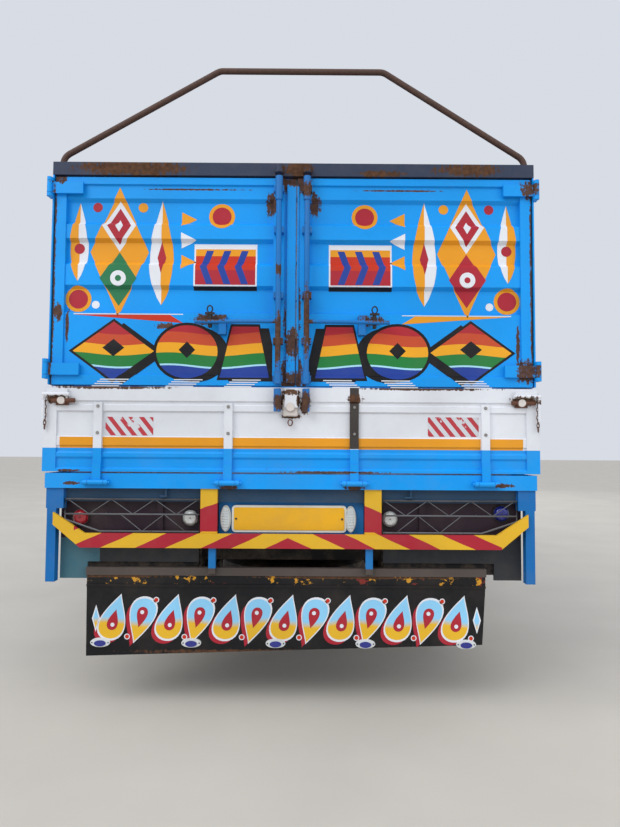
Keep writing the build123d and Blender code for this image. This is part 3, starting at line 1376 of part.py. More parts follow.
dash_out = cab_half - cab_wall - 8.0
dash = side_prism([(cab_front - cab_wall - 4, 1130), (cab_front - cab_wall - 4, screen_low - 60),
                   (cab_front - 150, screen_low - 30), (cab_front - 330, screen_low - 70),
                   (cab_front - 390, 1290), (cab_front - 300, 1120)], -dash_out, dash_out)
wheel_centre = (-560.0, cab_front - 560.0, 1545.0)
column_dir = (0.0, -0.5, 0.866)
column_foot = tuple(c - d * 330 for c, d in zip(wheel_centre, column_dir))
column_top = tuple(c - d * 32 for c, d in zip(wheel_centre, column_dir))
console = block(-tunnel_half + 60, tunnel_half - 60, cab_front - 330, cab_front - cab_wall - 4,
                cab_floor, 1140)
write("dashboard", fused([dash, console, rod(column_foot, column_top, 34)]))

wheel_ring_radius = 215.0
wheel_grip = 14.0
wheel_plane = Plane(origin=wheel_centre, z_dir=column_dir)
wheel_parts = [wheel_plane * Torus(wheel_ring_radius, wheel_grip),
               wheel_plane * Pos(0, 0, -10) * Cylinder(52, 30)]
for turn in (90, 210, 330):
    wheel_parts.append(wheel_plane * Rot(0, 0, turn) * Pos(wheel_ring_radius / 2, 0, -4)
                       * Box(wheel_ring_radius, 30, 12))
write("steering_wheel", fused(wheel_parts))


# Front bumper, open behind, with lamps let into it
bumper_low = 430.0
bumper_high = 725.0
bumper_wall = 10.0
bumper_wrap = 250.0
bumper_flange = 60.0
head_lamp_x = (600.0, 850.0)
turn_lamp_x = (864.0, 960.0)
head_lamp_z = (520.0, 660.0)
bumper_shell = block(-cab_half, cab_half, y_front - bumper_wrap, y_front, bumper_low, bumper_high)
bumper_shell = fillet(bumper_shell.edges().filter_by(Axis.Z).sort_by(Axis.Y)[-2:], 70)
bumper_in = block(-cab_half + bumper_wall, cab_half - bumper_wall, y_front - bumper_wrap - 5,
                  y_front - bumper_wall, bumper_low - 5, bumper_high - bumper_wall)
bumper_in = fillet(bumper_in.edges().filter_by(Axis.Z).sort_by(Axis.Y)[-2:], 60)
bumper_cuts = [block(-480, 480, y_front - 60, y_front + 5, bumper_low + 70, bumper_low + 190)]
for side in (-1, 1):
    for lamp_x in (head_lamp_x, turn_lamp_x):
        x0, x1 = sorted((side * (lamp_x[0] - 4), side * (lamp_x[1] + 4)))
        bumper_cuts.append(block(x0, x1, y_front - 60, y_front + 5, head_lamp_z[0] - 4, head_lamp_z[1] + 4))
bumper_cuts.append(block(-cab_half + bumper_wall, cab_half - bumper_wall, y_front - bumper_wrap - 5,
                         y_front - bumper_flange, bumper_low, bumper_high + 5))
bumper = bumper_shell - bumper_in
for cut in bumper_cuts:
    bumper = bumper - cut
stay_x = rail_x - 20.0
bumper_body = [bumper]
for side in (-1, 1):
    x0, x1 = sorted((side * (stay_x + 4), side * (stay_x + 18)))
    bumper_body.append(block(x0, x1, frame_front, y_front - bumper_wall + 1, rail_bottom_z + 10,
                             bumper_high - 40))
write("front_bumper", fused(bumper_body))

head_lamps = []
for side in (-1, 1):
    for lamp_x in (head_lamp_x, turn_lamp_x):
        x0, x1 = sorted((side * lamp_x[0], side * lamp_x[1]))
        lamp = block(x0, x1, y_front - 75, y_front - 8, head_lamp_z[0], head_lamp_z[1])
        head_lamps.append(fillet(lamp.edges().filter_by(Axis.Y), 12))
write("head_lamps", *head_lamps)
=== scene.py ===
"""Painted drop-side lorry: looks of every piece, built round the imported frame."""
import math

import bmesh
import bpy
from bpy.props import FloatProperty, FloatVectorProperty, IntProperty, PointerProperty
from mathutils import Matrix, Vector


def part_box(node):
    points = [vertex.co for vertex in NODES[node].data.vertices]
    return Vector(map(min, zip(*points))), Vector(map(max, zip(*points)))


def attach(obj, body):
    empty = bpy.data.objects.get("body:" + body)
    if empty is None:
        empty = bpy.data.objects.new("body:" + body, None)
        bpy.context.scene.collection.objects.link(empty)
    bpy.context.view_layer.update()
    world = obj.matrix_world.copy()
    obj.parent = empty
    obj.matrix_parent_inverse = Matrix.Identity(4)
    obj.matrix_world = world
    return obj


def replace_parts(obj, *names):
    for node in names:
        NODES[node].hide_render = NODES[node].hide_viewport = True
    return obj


bl_info = {
    "name": "Painted drop-side lorry",
    "version": (1, 0, 0),
    "blender": (4, 5, 0),
    "location": "3D View > Sidebar > Lorry",
    "description": "Finishes and fine pieces of a painted drop-side lorry",
    "category": "Object",
}

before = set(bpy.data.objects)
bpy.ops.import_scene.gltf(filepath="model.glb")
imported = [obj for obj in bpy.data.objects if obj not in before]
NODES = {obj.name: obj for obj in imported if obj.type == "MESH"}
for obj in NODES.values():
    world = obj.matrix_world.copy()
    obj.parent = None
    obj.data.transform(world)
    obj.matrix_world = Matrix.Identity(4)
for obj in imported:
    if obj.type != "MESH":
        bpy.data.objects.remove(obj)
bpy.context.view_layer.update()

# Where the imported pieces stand, in metres
door_low, door_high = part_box("rear_door_left")
right_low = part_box("rear_door_right")[0]
flap_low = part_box("mud_flap_board")[0]
rail_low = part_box("top_rail")[0]
cab_box_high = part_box("cab_shell")[1]

# The way that the tail faces
REAR = (0, -1, 0)

# The gates' amber band and their rows of bolts, in metres above the ground, and half a tyre's width
BAND_FOOT = 1.143
BAND_TOP = 1.193
BOLT_ROWS = (1.065, 1.212, 1.332)
TYRE_HALF = 0.1075

# Paints by name: sRGB hex code and where it goes
PAINTS = {
    "sky_blue": ("#0096EA", "Body panels, doors and posts"),
    "signal_white": ("#DDE0E6", "Gate tops, cab roof and figures"),
    "orange": ("#E3981C", "Bands and large figures"),
    "yellow": ("#DDAE28", "Bumper bars and hub caps"),
    "red": ("#A82232", "Bumper bars, hubs and figures"),
    "deep_blue": ("#1E3F96", "Figures on the doors"),
    "leaf_green": ("#22734A", "Figures on the doors"),
    "black": ("#0B0C12", "Shadows of the figures"),
    "maroon": ("#2A1B26", "Lamp boards"),
    "dust": ("#8A7A68", "Road dust on every paint"),
}
SKY_BLUE, SIGNAL_WHITE, ORANGE, YELLOW, RED, DEEP_BLUE, LEAF_GREEN, BLACK, MAROON, DUST = PAINTS


def linear_of(code):
    """The linear red, green and blue of an sRGB hex code."""
    parts = [int(code[i:i + 2], 16) / 255 for i in (1, 3, 5)]
    return tuple(c / 12.92 if c <= 0.04045 else ((c + 0.055) / 1.055) ** 2.4 for c in parts)


def linear(code):
    """An sRGB hex code, or the name of a paint of the sidebar, as a linear colour."""
    if code in PAINTS:
        return (*getattr(bpy.context.scene.lorry_paints, code), 1.0)
    return (*linear_of(code), 1.0)


def paint_property(name):
    """The sidebar's colour field of one paint."""
    code, use = PAINTS[name]
    return FloatVectorProperty(name=name.replace("_", " ").capitalize(), description=use, subtype="COLOR",
                               size=3, min=0.0, max=1.0, default=linear_of(code))


# The setting that the second word of a node's kind gives. The tuple of a MapRange is its value, the low and
# high end of the range it comes in, and those of the range that it goes to.
MODES = {"Math": "operation", "VectorMath": "operation", "Mix": "data_type"}


def fill(node, inputs):
    """Give a node its inputs: a socket is linked, and anything else becomes the input's value."""
    for key, item in inputs.items():
        if isinstance(item, bpy.types.NodeSocket):
            node.id_data.links.new(item, node.inputs[key])
        else:
            node.inputs[key].default_value = item


def add(tree, kind, inputs, out=0, stops=(), **settings):
    """Add one node with its settings and inputs, and give the output wanted, or the node itself for None.
    A kind such as "Math.ADD" names the mode too. Inputs are a dict, or a tuple in the order of the sockets
    in use."""
    kind, _, mode = kind.partition(".")
    made = tree.nodes.new("ShaderNode" + kind)
    if mode:
        settings[MODES[kind]] = mode
    for key, value in settings.items():
        setattr(made, key, value)
    if isinstance(inputs, tuple):
        used = [i for i, socket in enumerate(made.inputs) if socket.enabled]
        inputs = dict(zip(used, inputs))
    fill(made, inputs)
    if stops:
        ramp = made.color_ramp
        while len(ramp.elements) < len(stops):
            ramp.elements.new(0.5)
        for element, (place, colour) in zip(ramp.elements, stops):
            element.position = place
            element.color = colour
    if out is None:
        return made
    if isinstance(out, str):
        return made.outputs[out]
    return [socket for socket in made.outputs if socket.enabled][out]


def new_material(name):
    """An empty material with its output, its principled shader and the row frame's coordinates."""
    material = bpy.data.materials.new(name)
    material.use_nodes = True
    tree = material.node_tree
    tree.nodes.clear()
    shader = add(tree, "BsdfPrincipled", {}, None)
    add(tree, "OutputMaterial", {"Surface": shader.outputs["BSDF"]}, None)
    return material, tree, shader, add(tree, "TexCoord", {}, "Object")


def once(name, make, *values, **look):
    """A material made at its first use and shared after that."""
    return bpy.data.materials.get(name) or make(name, *values, **look)


def edge_mask(tree, radius):
    """1 where a sharp edge is nearer than the radius, from the angle to the softened normal."""
    soft = add(tree, "Bevel", {"Radius": radius}, samples=4)
    hard = add(tree, "NewGeometry", {}, "Normal")
    dot = add(tree, "VectorMath.DOT_PRODUCT", (soft, hard), "Value")
    return add(tree, "MapRange", (dot, 0.995, 0.86))


def rusty_steel(name, light="#7B5A45", dark="#3B241A", clean="#6E6A66", share=0.75, rough=0.7):
    """Bare mild steel gone brown: matt, mottled, with a few rubbed bright places."""
    material, tree, shader, where = new_material(name)
    big = add(tree, "TexNoise", {"Scale": 9.0, "Detail": 8.0, "Roughness": 0.65, "Vector": where})
    small = add(tree, "TexNoise", {"Scale": 90.0, "Detail": 4.0, "Vector": where})
    tone = add(tree, "Mix.RGBA", (small, linear(dark), linear(light)))
    mask = add(tree, "MapRange", (big, share - 0.15, share))
    colour = add(tree, "Mix.RGBA", (mask, tone, linear(clean)))
    bump = add(tree, "Bump", {"Strength": 0.4, "Distance": 0.0015, "Height": small})
    fill(shader, {"Base Color": colour, "Metallic": mask, "Roughness": rough, "Normal": bump})
    return material


def dusty_rubber(name, colour="#1C1B1B"):
    """Vulcanised tyre rubber: near black, matt, with road dust in its hollows."""
    material, tree, shader, where = new_material(name)
    grime = add(tree, "TexNoise", {"Scale": 14.0, "Detail": 7.0, "Roughness": 0.7, "Vector": where})
    mask = add(tree, "MapRange", (grime, 0.42, 0.75, 0.0, 0.55))
    colour_mix = add(tree, "Mix.RGBA", (mask, linear(colour), linear("#7C6A55")))
    grain = add(tree, "TexNoise", {"Scale": 300.0, "Detail": 2.0, "Vector": where})
    bump = add(tree, "Bump", {"Strength": 0.25, "Distance": 0.0006, "Height": grain})
    fill(shader, {"Base Color": colour_mix, "Roughness": 0.85, "Normal": bump})
    return material


def moulded_plastic(name, colour="#18191B", rough=0.55, grain_mm=1.2):
    """Injection-moulded plastic with a leather grain: matt, a little grey with age."""
    material, tree, shader, where = new_material(name)
    cells = add(tree, "TexVoronoi", {"Scale": 1000.0 / grain_mm / 3, "Vector": where})
    age = add(tree, "TexNoise", {"Scale": 6.0, "Detail": 5.0, "Vector": where})
    r, g, b, _ = linear(colour)
    mix = add(tree, "Mix.RGBA", (age, (r, g, b, 1), (r + 0.03, g + 0.03, b + 0.028, 1)))
    rough_map = add(tree, "MapRange", (age, 0.0, 1.0, rough - 0.08, rough + 0.12))
    bump = add(tree, "Bump", {"Strength": 0.15, "Distance": 0.0004, "Height": cells})
    fill(shader, {"Base Color": mix, "Roughness": rough_map, "Normal": bump})
    return material


def clear_glass(name, tint="#C8D8D6", alpha=0.28):
    """Toughened window glass: glossy, faintly green, lightly dusty."""
    material, tree, shader, where = new_material(name)
    film = add(tree, "TexNoise", {"Scale": 4.0, "Detail": 6.0, "Vector": where})
    rough = add(tree, "MapRange", (film, 0.0, 1.0, 0.02, 0.14))
    fill(shader, {"Roughness": rough, "Base Color": linear(tint), "IOR": 1.5, "Alpha": alpha})
    return material


def worn_planks(name, plank_mm=180.0):
    """Hardwood floor boards along the lorry: grey-brown, scuffed, with open joints."""
    material, tree, shader, where = new_material(name)
    stretch = add(tree, "Mapping", {"Scale": (1.0, 0.06, 1.0), "Vector": where})
    grain = add(tree, "TexNoise", {"Scale": 45.0, "Detail": 8.0, "Distortion": 0.6, "Vector": stretch})
    split = add(tree, "SeparateXYZ", {0: where}, "X")
    count = add(tree, "Math.DIVIDE", (split, plank_mm / 1000))
    within = add(tree, "Math.FLOORED_MODULO", (count, 1.0))
    which = add(tree, "Math.FLOOR", (count,))
    tone = add(tree, "TexWhiteNoise", {"W": which}, noise_dimensions="1D")
    ramp = add(tree, "ValToRGB", {"Fac": grain}, stops=[(0.3, linear("#4A3623")), (0.7, linear("#8A6E4E"))])
    shade = add(tree, "MapRange", (tone, 0.0, 1.0, 0.7, 1.1))
    toned = add(tree, "HueSaturation", {"Color": ramp, "Value": shade})
    seam = add(tree, "Math.GREATER_THAN", (within, 0.03))
    dark = add(tree, "Mix.RGBA", (seam, linear("#120D09"), toned))
    bump = add(tree, "Bump", {"Strength": 0.5, "Distance": 0.002, "Height": seam})
    fill(shader, {"Base Color": dark, "Roughness": 0.8, "Normal": bump})
    return material


def finish_node(names, material):
    """Give CAD nodes a material in every slot."""
    for name in names:
        mesh = NODES[name].data
        if not mesh.materials:
            mesh.materials.append(material)
        for i in range(len(mesh.materials)):
            mesh.materials[i] = material


# The camera, fitted to the photograph: metres, degrees and the lens for a 36 mm wide sensor
CAMERA_PLACE = Vector((0.078, -6.2148, 1.152))
CAMERA_YAW = math.radians(0.093)
CAMERA_PITCH = math.radians(2.992)
CAMERA_ROLL = math.radians(0.363)
CAMERA_LENS = 28.12


def build_stage():
    """Floor, camera and lights."""
    forward = Vector((math.sin(CAMERA_YAW) * math.cos(CAMERA_PITCH),
                      math.cos(CAMERA_YAW) * math.cos(CAMERA_PITCH), math.sin(CAMERA_PITCH)))
    right = Vector((math.cos(CAMERA_YAW), -math.sin(CAMERA_YAW), 0.0))
    up = right.cross(forward)
    tilted_right = right * math.cos(CAMERA_ROLL) + up * math.sin(CAMERA_ROLL)
    tilted_up = up * math.cos(CAMERA_ROLL) - right * math.sin(CAMERA_ROLL)
    data = bpy.data.cameras.new("camera")
    data.lens = CAMERA_LENS
    data.sensor_width = 36.0
    camera = bpy.data.objects.new("camera", data)
    bpy.context.scene.collection.objects.link(camera)
    turn = Matrix((tilted_right, tilted_up, -forward)).transposed()
    camera.matrix_world = Matrix.Translation(CAMERA_PLACE) @ turn.to_4x4()
    bpy.context.scene.camera = camera

    mesh = bpy.data.meshes.new("floor")
    mesh.from_pydata([(-60, -60, 0), (60, -60, 0), (60, 60, 0), (-60, 60, 0)], [], [(0, 1, 2, 3)])
    floor = bpy.data.objects.new("stage_floor", mesh)
    bpy.context.scene.collection.objects.link(floor)
    material, tree, shader, where = new_material("trodden pale concrete")
    patches = add(tree, "TexNoise", {"Scale": 1.5, "Detail": 8.0, "Vector": where})
    mix = add(tree, "Mix.RGBA", (patches, linear("#B4AFA6"), linear("#C6C1B7")))
    fill(shader, {"Base Color": mix, "Roughness": 0.85})
    mesh.materials.append(material)

    # Area lights: name, place, aim, width in metres and power in watts
    for name, place, aim, width, power in (
            ("key", (-5.5, -9.0, 7.5), (0, -3.3, 1.4), 5.0, bpy.context.scene.lorry_sizes.key_power),
            ("fill", (6.5, -8.0, 4.0), (0, -3.3, 1.4), 6.0, 150.0),
            ("top", (0.0, 0.0, 11.0), (0, 0, 0), 9.0, 120.0),
            ("front", (3.0, 11.0, 6.0), (0, 0, 1), 6.0, 180.0)):
        lamp = bpy.data.lights.new(name, "AREA")
        lamp.shape = "SQUARE"
        lamp.size = width
        lamp.energy = power
        holder = bpy.data.objects.new("light_" + name, lamp)
        holder.location = place
        holder.rotation_euler = (Vector(aim) - Vector(place)).to_track_quat("-Z", "Y").to_euler()
        bpy.context.scene.collection.objects.link(holder)
    # A wide sun, as soft as light through haze
    lamp = bpy.data.lights.new("daylight", "SUN")
    lamp.energy = 0.95
    lamp.angle = math.radians(70)
    holder = bpy.data.objects.new("light_daylight", lamp)
    holder.rotation_euler = Vector((0.35, 0.45, -1.0)).to_track_quat("-Z", "Y").to_euler()
    bpy.context.scene.collection.objects.link(holder)
    world = bpy.data.worlds.new("soft sky")
    world.use_nodes = True
    world.node_tree.nodes["Background"].inputs["Color"].default_value = (0.88, 0.92, 1.0, 1.0)
    world.node_tree.nodes["Background"].inputs["Strength"].default_value = 0.78
    bpy.context.scene.world = world
    bpy.context.scene.view_settings.view_transform = "Standard"


def overpaint(tree, base, paint, *tests):
    """Lay a paint over a base where every test holds, such as ("LESS_THAN", height, 1.143). Each colour is a
    code, a paint's name or a socket."""
    base, paint = (linear(item) if isinstance(item, str) else item for item in (base, paint))
    mask = 1.0
    for operation, *values in tests:
        holds = add(tree, "Math." + operation, tuple(values))
        mask = add(tree, "Math.MULTIPLY", (mask, holds))
    return add(tree, "Mix.RGBA", (mask, base, paint))


def level_bands(tree, height, bands):
    """Colours one above another: (height where the colour starts, its code), lowest first."""
    base = bands[0][1]
    for level, code in bands[1:]:
        base = overpaint(tree, base, code, ("GREATER_THAN", height, level))
    return base


def waving_height(tree, where, pitch, swell):
    """The height, raised and lowered by a wave that runs across the lorry."""
    across, _, height = add(tree, "SeparateXYZ", (where,), slice(3))
    wave = add(tree, "Math.SINE", (add(tree, "Math.MULTIPLY", (across, pitch)),))
    return add(tree, "Math.MULTIPLY_ADD", (wave, swell, height))


# How far a stain reaches past its place, as the square of its half width
STAIN_END = 1.25


def grime_mask(tree, where, places):
    """Ragged stains round (x, z, half width, half height) places, as a 0 to 1 mask."""
    blot = add(tree, "TexNoise", {"Scale": 55.0, "Detail": 10.0, "Roughness": 0.75, "Vector": where})
    drawn = add(tree, "Mapping", {"Scale": (90.0, 1.0, 7.0), "Vector": where})
    runs = add(tree, "TexNoise", {"Scale": 1.0, "Detail": 6.0, "Roughness": 0.6, "Vector": drawn})
    nearest = STAIN_END
    for x, z, rx, rz in places:
        turned = {"Vector": where, "Scale": (1 / rx, 0, 1 / rz), "Location": (-x / rx, 0, -z / rz)}
        offset = add(tree, "Mapping", turned)
        spread = add(tree, "VectorMath.DOT_PRODUCT", (offset, offset))
        nearest = add(tree, "Math.MINIMUM", (nearest, spread))
    stain = add(tree, "MapRange", (nearest, STAIN_END, 0.0, 0.0, 0.3))
    spotted = add(tree, "Math.MULTIPLY_ADD", (blot, 0.62, stain))
    both = add(tree, "Math.MULTIPLY_ADD", (runs, 0.38, spotted))
    return add(tree, "MapRange", (both, 0.655, 0.705, 0.0, 0.985))


def aged(tree, shader, where, base, rust=0.35, dust=0.3, gloss=0.42, edge=0.004, grime_at=None):
    """Links an aged enamel round a base colour or socket: fading, dust, chips down to rust and dents."""
    film = add(tree, "TexNoise", {"Scale": 5.0, "Detail": 8.0, "Roughness": 0.7, "Vector": where})
    brush = add(tree, "TexNoise", {"Scale": 60.0, "Detail": 3.0, "Vector": where})
    patches = add(tree, "TexNoise", {"Scale": 1.8, "Detail": 5.0, "Vector": where})
    shade = add(tree, "MapRange", (patches, 0.3, 0.7, 0.86, 1.1))
    toned = add(tree, "HueSaturation", {"Color": base, "Value": shade})
    dusty = add(tree, "MapRange", (film, 0.45, 0.8, 0.0, dust))
    soiled = add(tree, "Mix.RGBA", (dusty, toned, linear(DUST)))
    chips = add(tree, "TexNoise", {"Scale": 22.0, "Detail": 9.0, "Roughness": 0.72, "Vector": where})
    wear = add(tree, "MapRange", (chips, 0.72 - 0.1 * rust, 0.75 - 0.1 * rust))
    if edge:
        ragged = add(tree, "MapRange", (chips, 0.46, 0.66, 0.0, min(1.6 * rust, 1.0)))
        rubbed = add(tree, "Math.MULTIPLY", (edge_mask(tree, edge), ragged))
        wear = add(tree, "Math.MAXIMUM", (wear, rubbed))
    if grime_at:
        wear = add(tree, "Math.MAXIMUM", (wear, grime_mask(tree, where, grime_at)))
    tone = add(tree, "Mix.RGBA", (brush, linear("#24170F"), linear("#6E4C35")))
    rough = add(tree, "MapRange", (film, 0.0, 1.0, gloss - 0.06, gloss + 0.2))
    dents = add(tree, "TexNoise", {"Scale": 3.2, "Detail": 2.0, "Vector": where})
    fine = add(tree, "Bump", {"Strength": 0.12, "Distance": 0.0008, "Height": brush})
    fill(shader, {
        "Base Color": add(tree, "Mix.RGBA", (wear, soiled, tone)),
        "Roughness": add(tree, "Math.MULTIPLY_ADD", (wear, 0.4, rough)),
        "Specular IOR Level": 0.28,
        "Normal": add(tree, "Bump", {"Strength": 0.5, "Distance": 0.010, "Height": dents, "Normal": fine}),
    })


def enamel(name, code, **look):
    """Brushed oil enamel of one colour on sheet steel."""
    material, tree, shader, where = new_material(name)
    aged(tree, shader, where, linear(code), **look)
    return material


# How far the brush strays to each side of a band's edge, in metres
BAND_WOBBLE = 0.002


def banded_enamel(name, bands, **look):
    """Oil enamel in level bands: (height in metres where a band starts, hex colour), lowest first."""
    material, tree, shader, where = new_material(name)
    wobble = add(tree, "TexNoise", {"Scale": 7.0, "Detail": 2.0, "Vector": where})
    height = add(tree, "SeparateXYZ", (where,), "Z")
    height = add(tree, "Math.MULTIPLY_ADD", (wobble, 2 * BAND_WOBBLE, height))
    base = level_bands(tree, height, [(level + BAND_WOBBLE, code) for level, code in bands])
    aged(tree, shader, where, linear(base) if isinstance(base, str) else base, **look)
    return material


# The pressed steps of a rear door: share of its height, and how many millimetres its face stands back
SHEET_STEPS = (
    (0.000, 0.0), (0.046, 0.0), (0.051, 9.0), (0.346, 9.0), (0.352, 24.0), (0.462, 24.0), (0.478, 5.0),
    (0.576, 5.0), (0.592, 24.0), (0.688, 24.0), (0.704, 5.0), (0.770, 5.0), (0.786, 24.0), (0.884, 24.0),
    (0.900, 9.0), (0.962, 9.0), (0.967, 0.0), (1.000, 0.0),
)


def door_depth(z):
    """How far the door's outer face stands behind its front plane at a height, in metres."""
    share = (z - door_low.z) / (door_high.z - door_low.z)
    for (s0, d0), (s1, d1) in zip(SHEET_STEPS, SHEET_STEPS[1:]):
        if s0 <= share <= s1:
            return (d0 + (d1 - d0) * (share - s0) / (s1 - s0)) / 1000
    return 0.0


# How far the lowest coat stands off its face, and each coat above it, in metres
FILM = 0.0007
FILM_STEP = 0.0003


def on_rear(front, depth=None):
    """A place function for a face that looks back."""
    if depth is None:
        return lambda x, z, lift: (x, front - lift, z)
    return lambda x, z, lift: (x, front + depth(z) - lift, z)


def on_side(side, face):
    """A place function for a wall: across runs along the lorry, and face gives |x| at a height."""
    return lambda y, z, lift: (side * (face(z) + lift), y, z)


def ride_mesh(bm, name, body, materials):
    """Make a named piece of a finished bmesh, and let it ride on its body."""
    mesh = bpy.data.meshes.new(name)
    bm.to_mesh(mesh)
    bm.free()
    for material in materials:
        mesh.materials.append(material)
    made = bpy.data.objects.new(name, mesh)
    bpy.context.scene.collection.objects.link(made)
    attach(made, body)
    return made


class Paintwork:
    """Collects coloured flat shapes and lays them on a face as one mesh. A place function turns a shape's
    (across, height, lift) into a point, and levels are the heights where the face bends."""

    def __init__(self, place, outward, levels=()):
        self.place = place
        self.outward = Vector(outward)
        self.levels = levels
        self.shapes = []
        self.materials = []

    def add(self, material, points, layer=0):
        """Collect one outline of (across, height) points on a layer."""
        if material not in self.materials:
            self.materials.append(material)
        self.shapes.append((self.materials.index(material), points, layer))

    def build(self, name, body):
        """Cut the shapes at the bends, lay them on the face and make the piece."""
        bm = bmesh.new()
        for index, points, layer in self.shapes:
            part = bmesh.new()
            corners = [part.verts.new((x, 0, z)) for x, z in points]
            face = part.faces.new(corners)
            face.normal_update()
            bmesh.ops.triangulate(part, faces=[face])
            low = min(z for _, z in points)
            high = max(z for _, z in points)
            for level in self.levels:
                if low < level < high:
                    geometry = part.verts[:] + part.edges[:] + part.faces[:]
                    bmesh.ops.bisect_plane(part, geom=geometry, plane_co=(0, 0, level), plane_no=(0, 0, 1))
            made = {}
            for vertex in part.verts:
                made[vertex] = bm.verts.new(self.place(vertex.co.x, vertex.co.z, FILM + layer * FILM_STEP))
            for old in part.faces:
                new = bm.faces.new([made[v] for v in old.verts])
                new.material_index = index
                new.normal_update()
                if new.normal.dot(self.outward) < 0:
                    new.normal_flip()
            part.free()
        return ride_mesh(bm, name, body, self.materials)


def oval(cx, cz, rx, rz=None, turn=0.0, count=36):
    """The outline of an ellipse, turned by an angle in radians."""
    rz = rz or rx
    points = []
    for i in range(count):
        a = math.tau * i / count
        x, z = rx * math.cos(a), rz * math.sin(a)
        points.append((cx + x * math.cos(turn) - z * math.sin(turn),
                       cz + x * math.sin(turn) + z * math.cos(turn)))
    return points


def lozenge(cx, cz, rx, rz):
    """The outline of a lozenge round its middle."""
    return [(cx - rx, cz), (cx, cz - rz), (cx + rx, cz), (cx, cz + rz)]


def strip(x0, z0, x1, z1):
    """The outline of an upright rectangle."""
    return [(x0, z0), (x1, z0), (x1, z1), (x0, z1)]


def spindle(cx, z0, z1, half, lean=0.0, side=0, count=14):
    """A pointed almond from z0 to z1. side -1 or 1 gives its left or right half."""
    left, right = [], []
    for i in range(count + 1):
        share = i / count
        bulge = half * math.sin(math.pi * share ** 0.8)
        z = z0 + (z1 - z0) * share
        x = cx + lean * share
        left.append((x - (bulge if side <= 0 else 0), z))
        right.append((x + (bulge if side >= 0 else 0), z))
    points = left + right[::-1]
    cleaned = []
    for point in points:
        if not cleaned or math.dist(point, cleaned[-1]) > 1e-5:
            cleaned.append(point)
    if math.dist(cleaned[0], cleaned[-1]) < 1e-5:
        cleaned.pop()
    return cleaned


def moved(points, dx, dz, grow=1.0):
    """An outline moved, and grown round its own middle."""
    cx = sum(x for x, _ in points) / len(points)
    cz = sum(z for _, z in points) / len(points)
    return [(cx + (x - cx) * grow + dx, cz + (z - cz) * grow + dz) for x, z in points]


def mirrored(points, side):
    """The points for side 1, and for side -1 their mirror image with the same winding."""
    return [(x * side, z) for x, z in points][::side]


def black_plastic():
    """Matt black plastic of seals, lamp bodies and handles."""
    return once("black rubbery plastic", moulded_plastic, "#1B1B1D")


def dull_zinc():
    """Zinc plating gone dull and brown on bolts and nuts."""
    return once("zinc gone dull", rusty_steel, "#8A8680", "#5A5048", "#9A9894", 0.45, 0.5)


def tread_rubber():
    """Black rubber of tyres and window seals."""
    return once("vulcanised tread rubber", dusty_rubber)


def rainbow():
    """The banded enamel of the big figures."""
    return once("rainbow banded signwriter enamel", rainbow_enamel)


# The signwriter's colours by name: what the enamel is called, and its paint
SIGN_COLOURS = {
    "yellow": ("amber", ORANGE), "white": ("white", SIGNAL_WHITE), "red": ("crimson", RED),
    "green": ("leaf green", LEAF_GREEN), "blue": ("deep blue", DEEP_BLUE), "black": ("black", BLACK),
    "coral": ("coral", "#C23015"),
}


def enamel_set(use, names, **look):
    """One enamel for each named colour, called after its use."""
    made = {}
    for name in names:
        title, code = SIGN_COLOURS[name]
        made[name] = once("%s %s enamel" % (title, use), enamel, code, **look)
    return made


def signwriter_colours():
    """The signwriter's thin oil enamels, glossy and hardly chipped."""
    return enamel_set("signwriter", SIGN_COLOURS, rust=0.12, dust=0.08, edge=0)


# The big figures' bands: the height in metres where each starts, and its colour
RAINBOW = ((1.40, "#1F3F96"), (1.513, "#A8DDF2"), (1.521, "#1F7A3A"), (1.572, "#EBA51E"), (1.618, "#C24A28"),
           (1.668, "#AC2430"))


def rainbow_enamel(name):
    """Enamel blended in waving level bands, from deep blue below to crimson at the top."""
    material, tree, shader, where = new_material(name)
    base = level_bands(tree, waving_height(tree, where, 14.0, 0.008), RAINBOW)
    aged(tree, shader, where, base, rust=0.2, dust=0.08, edge=0)
    return material


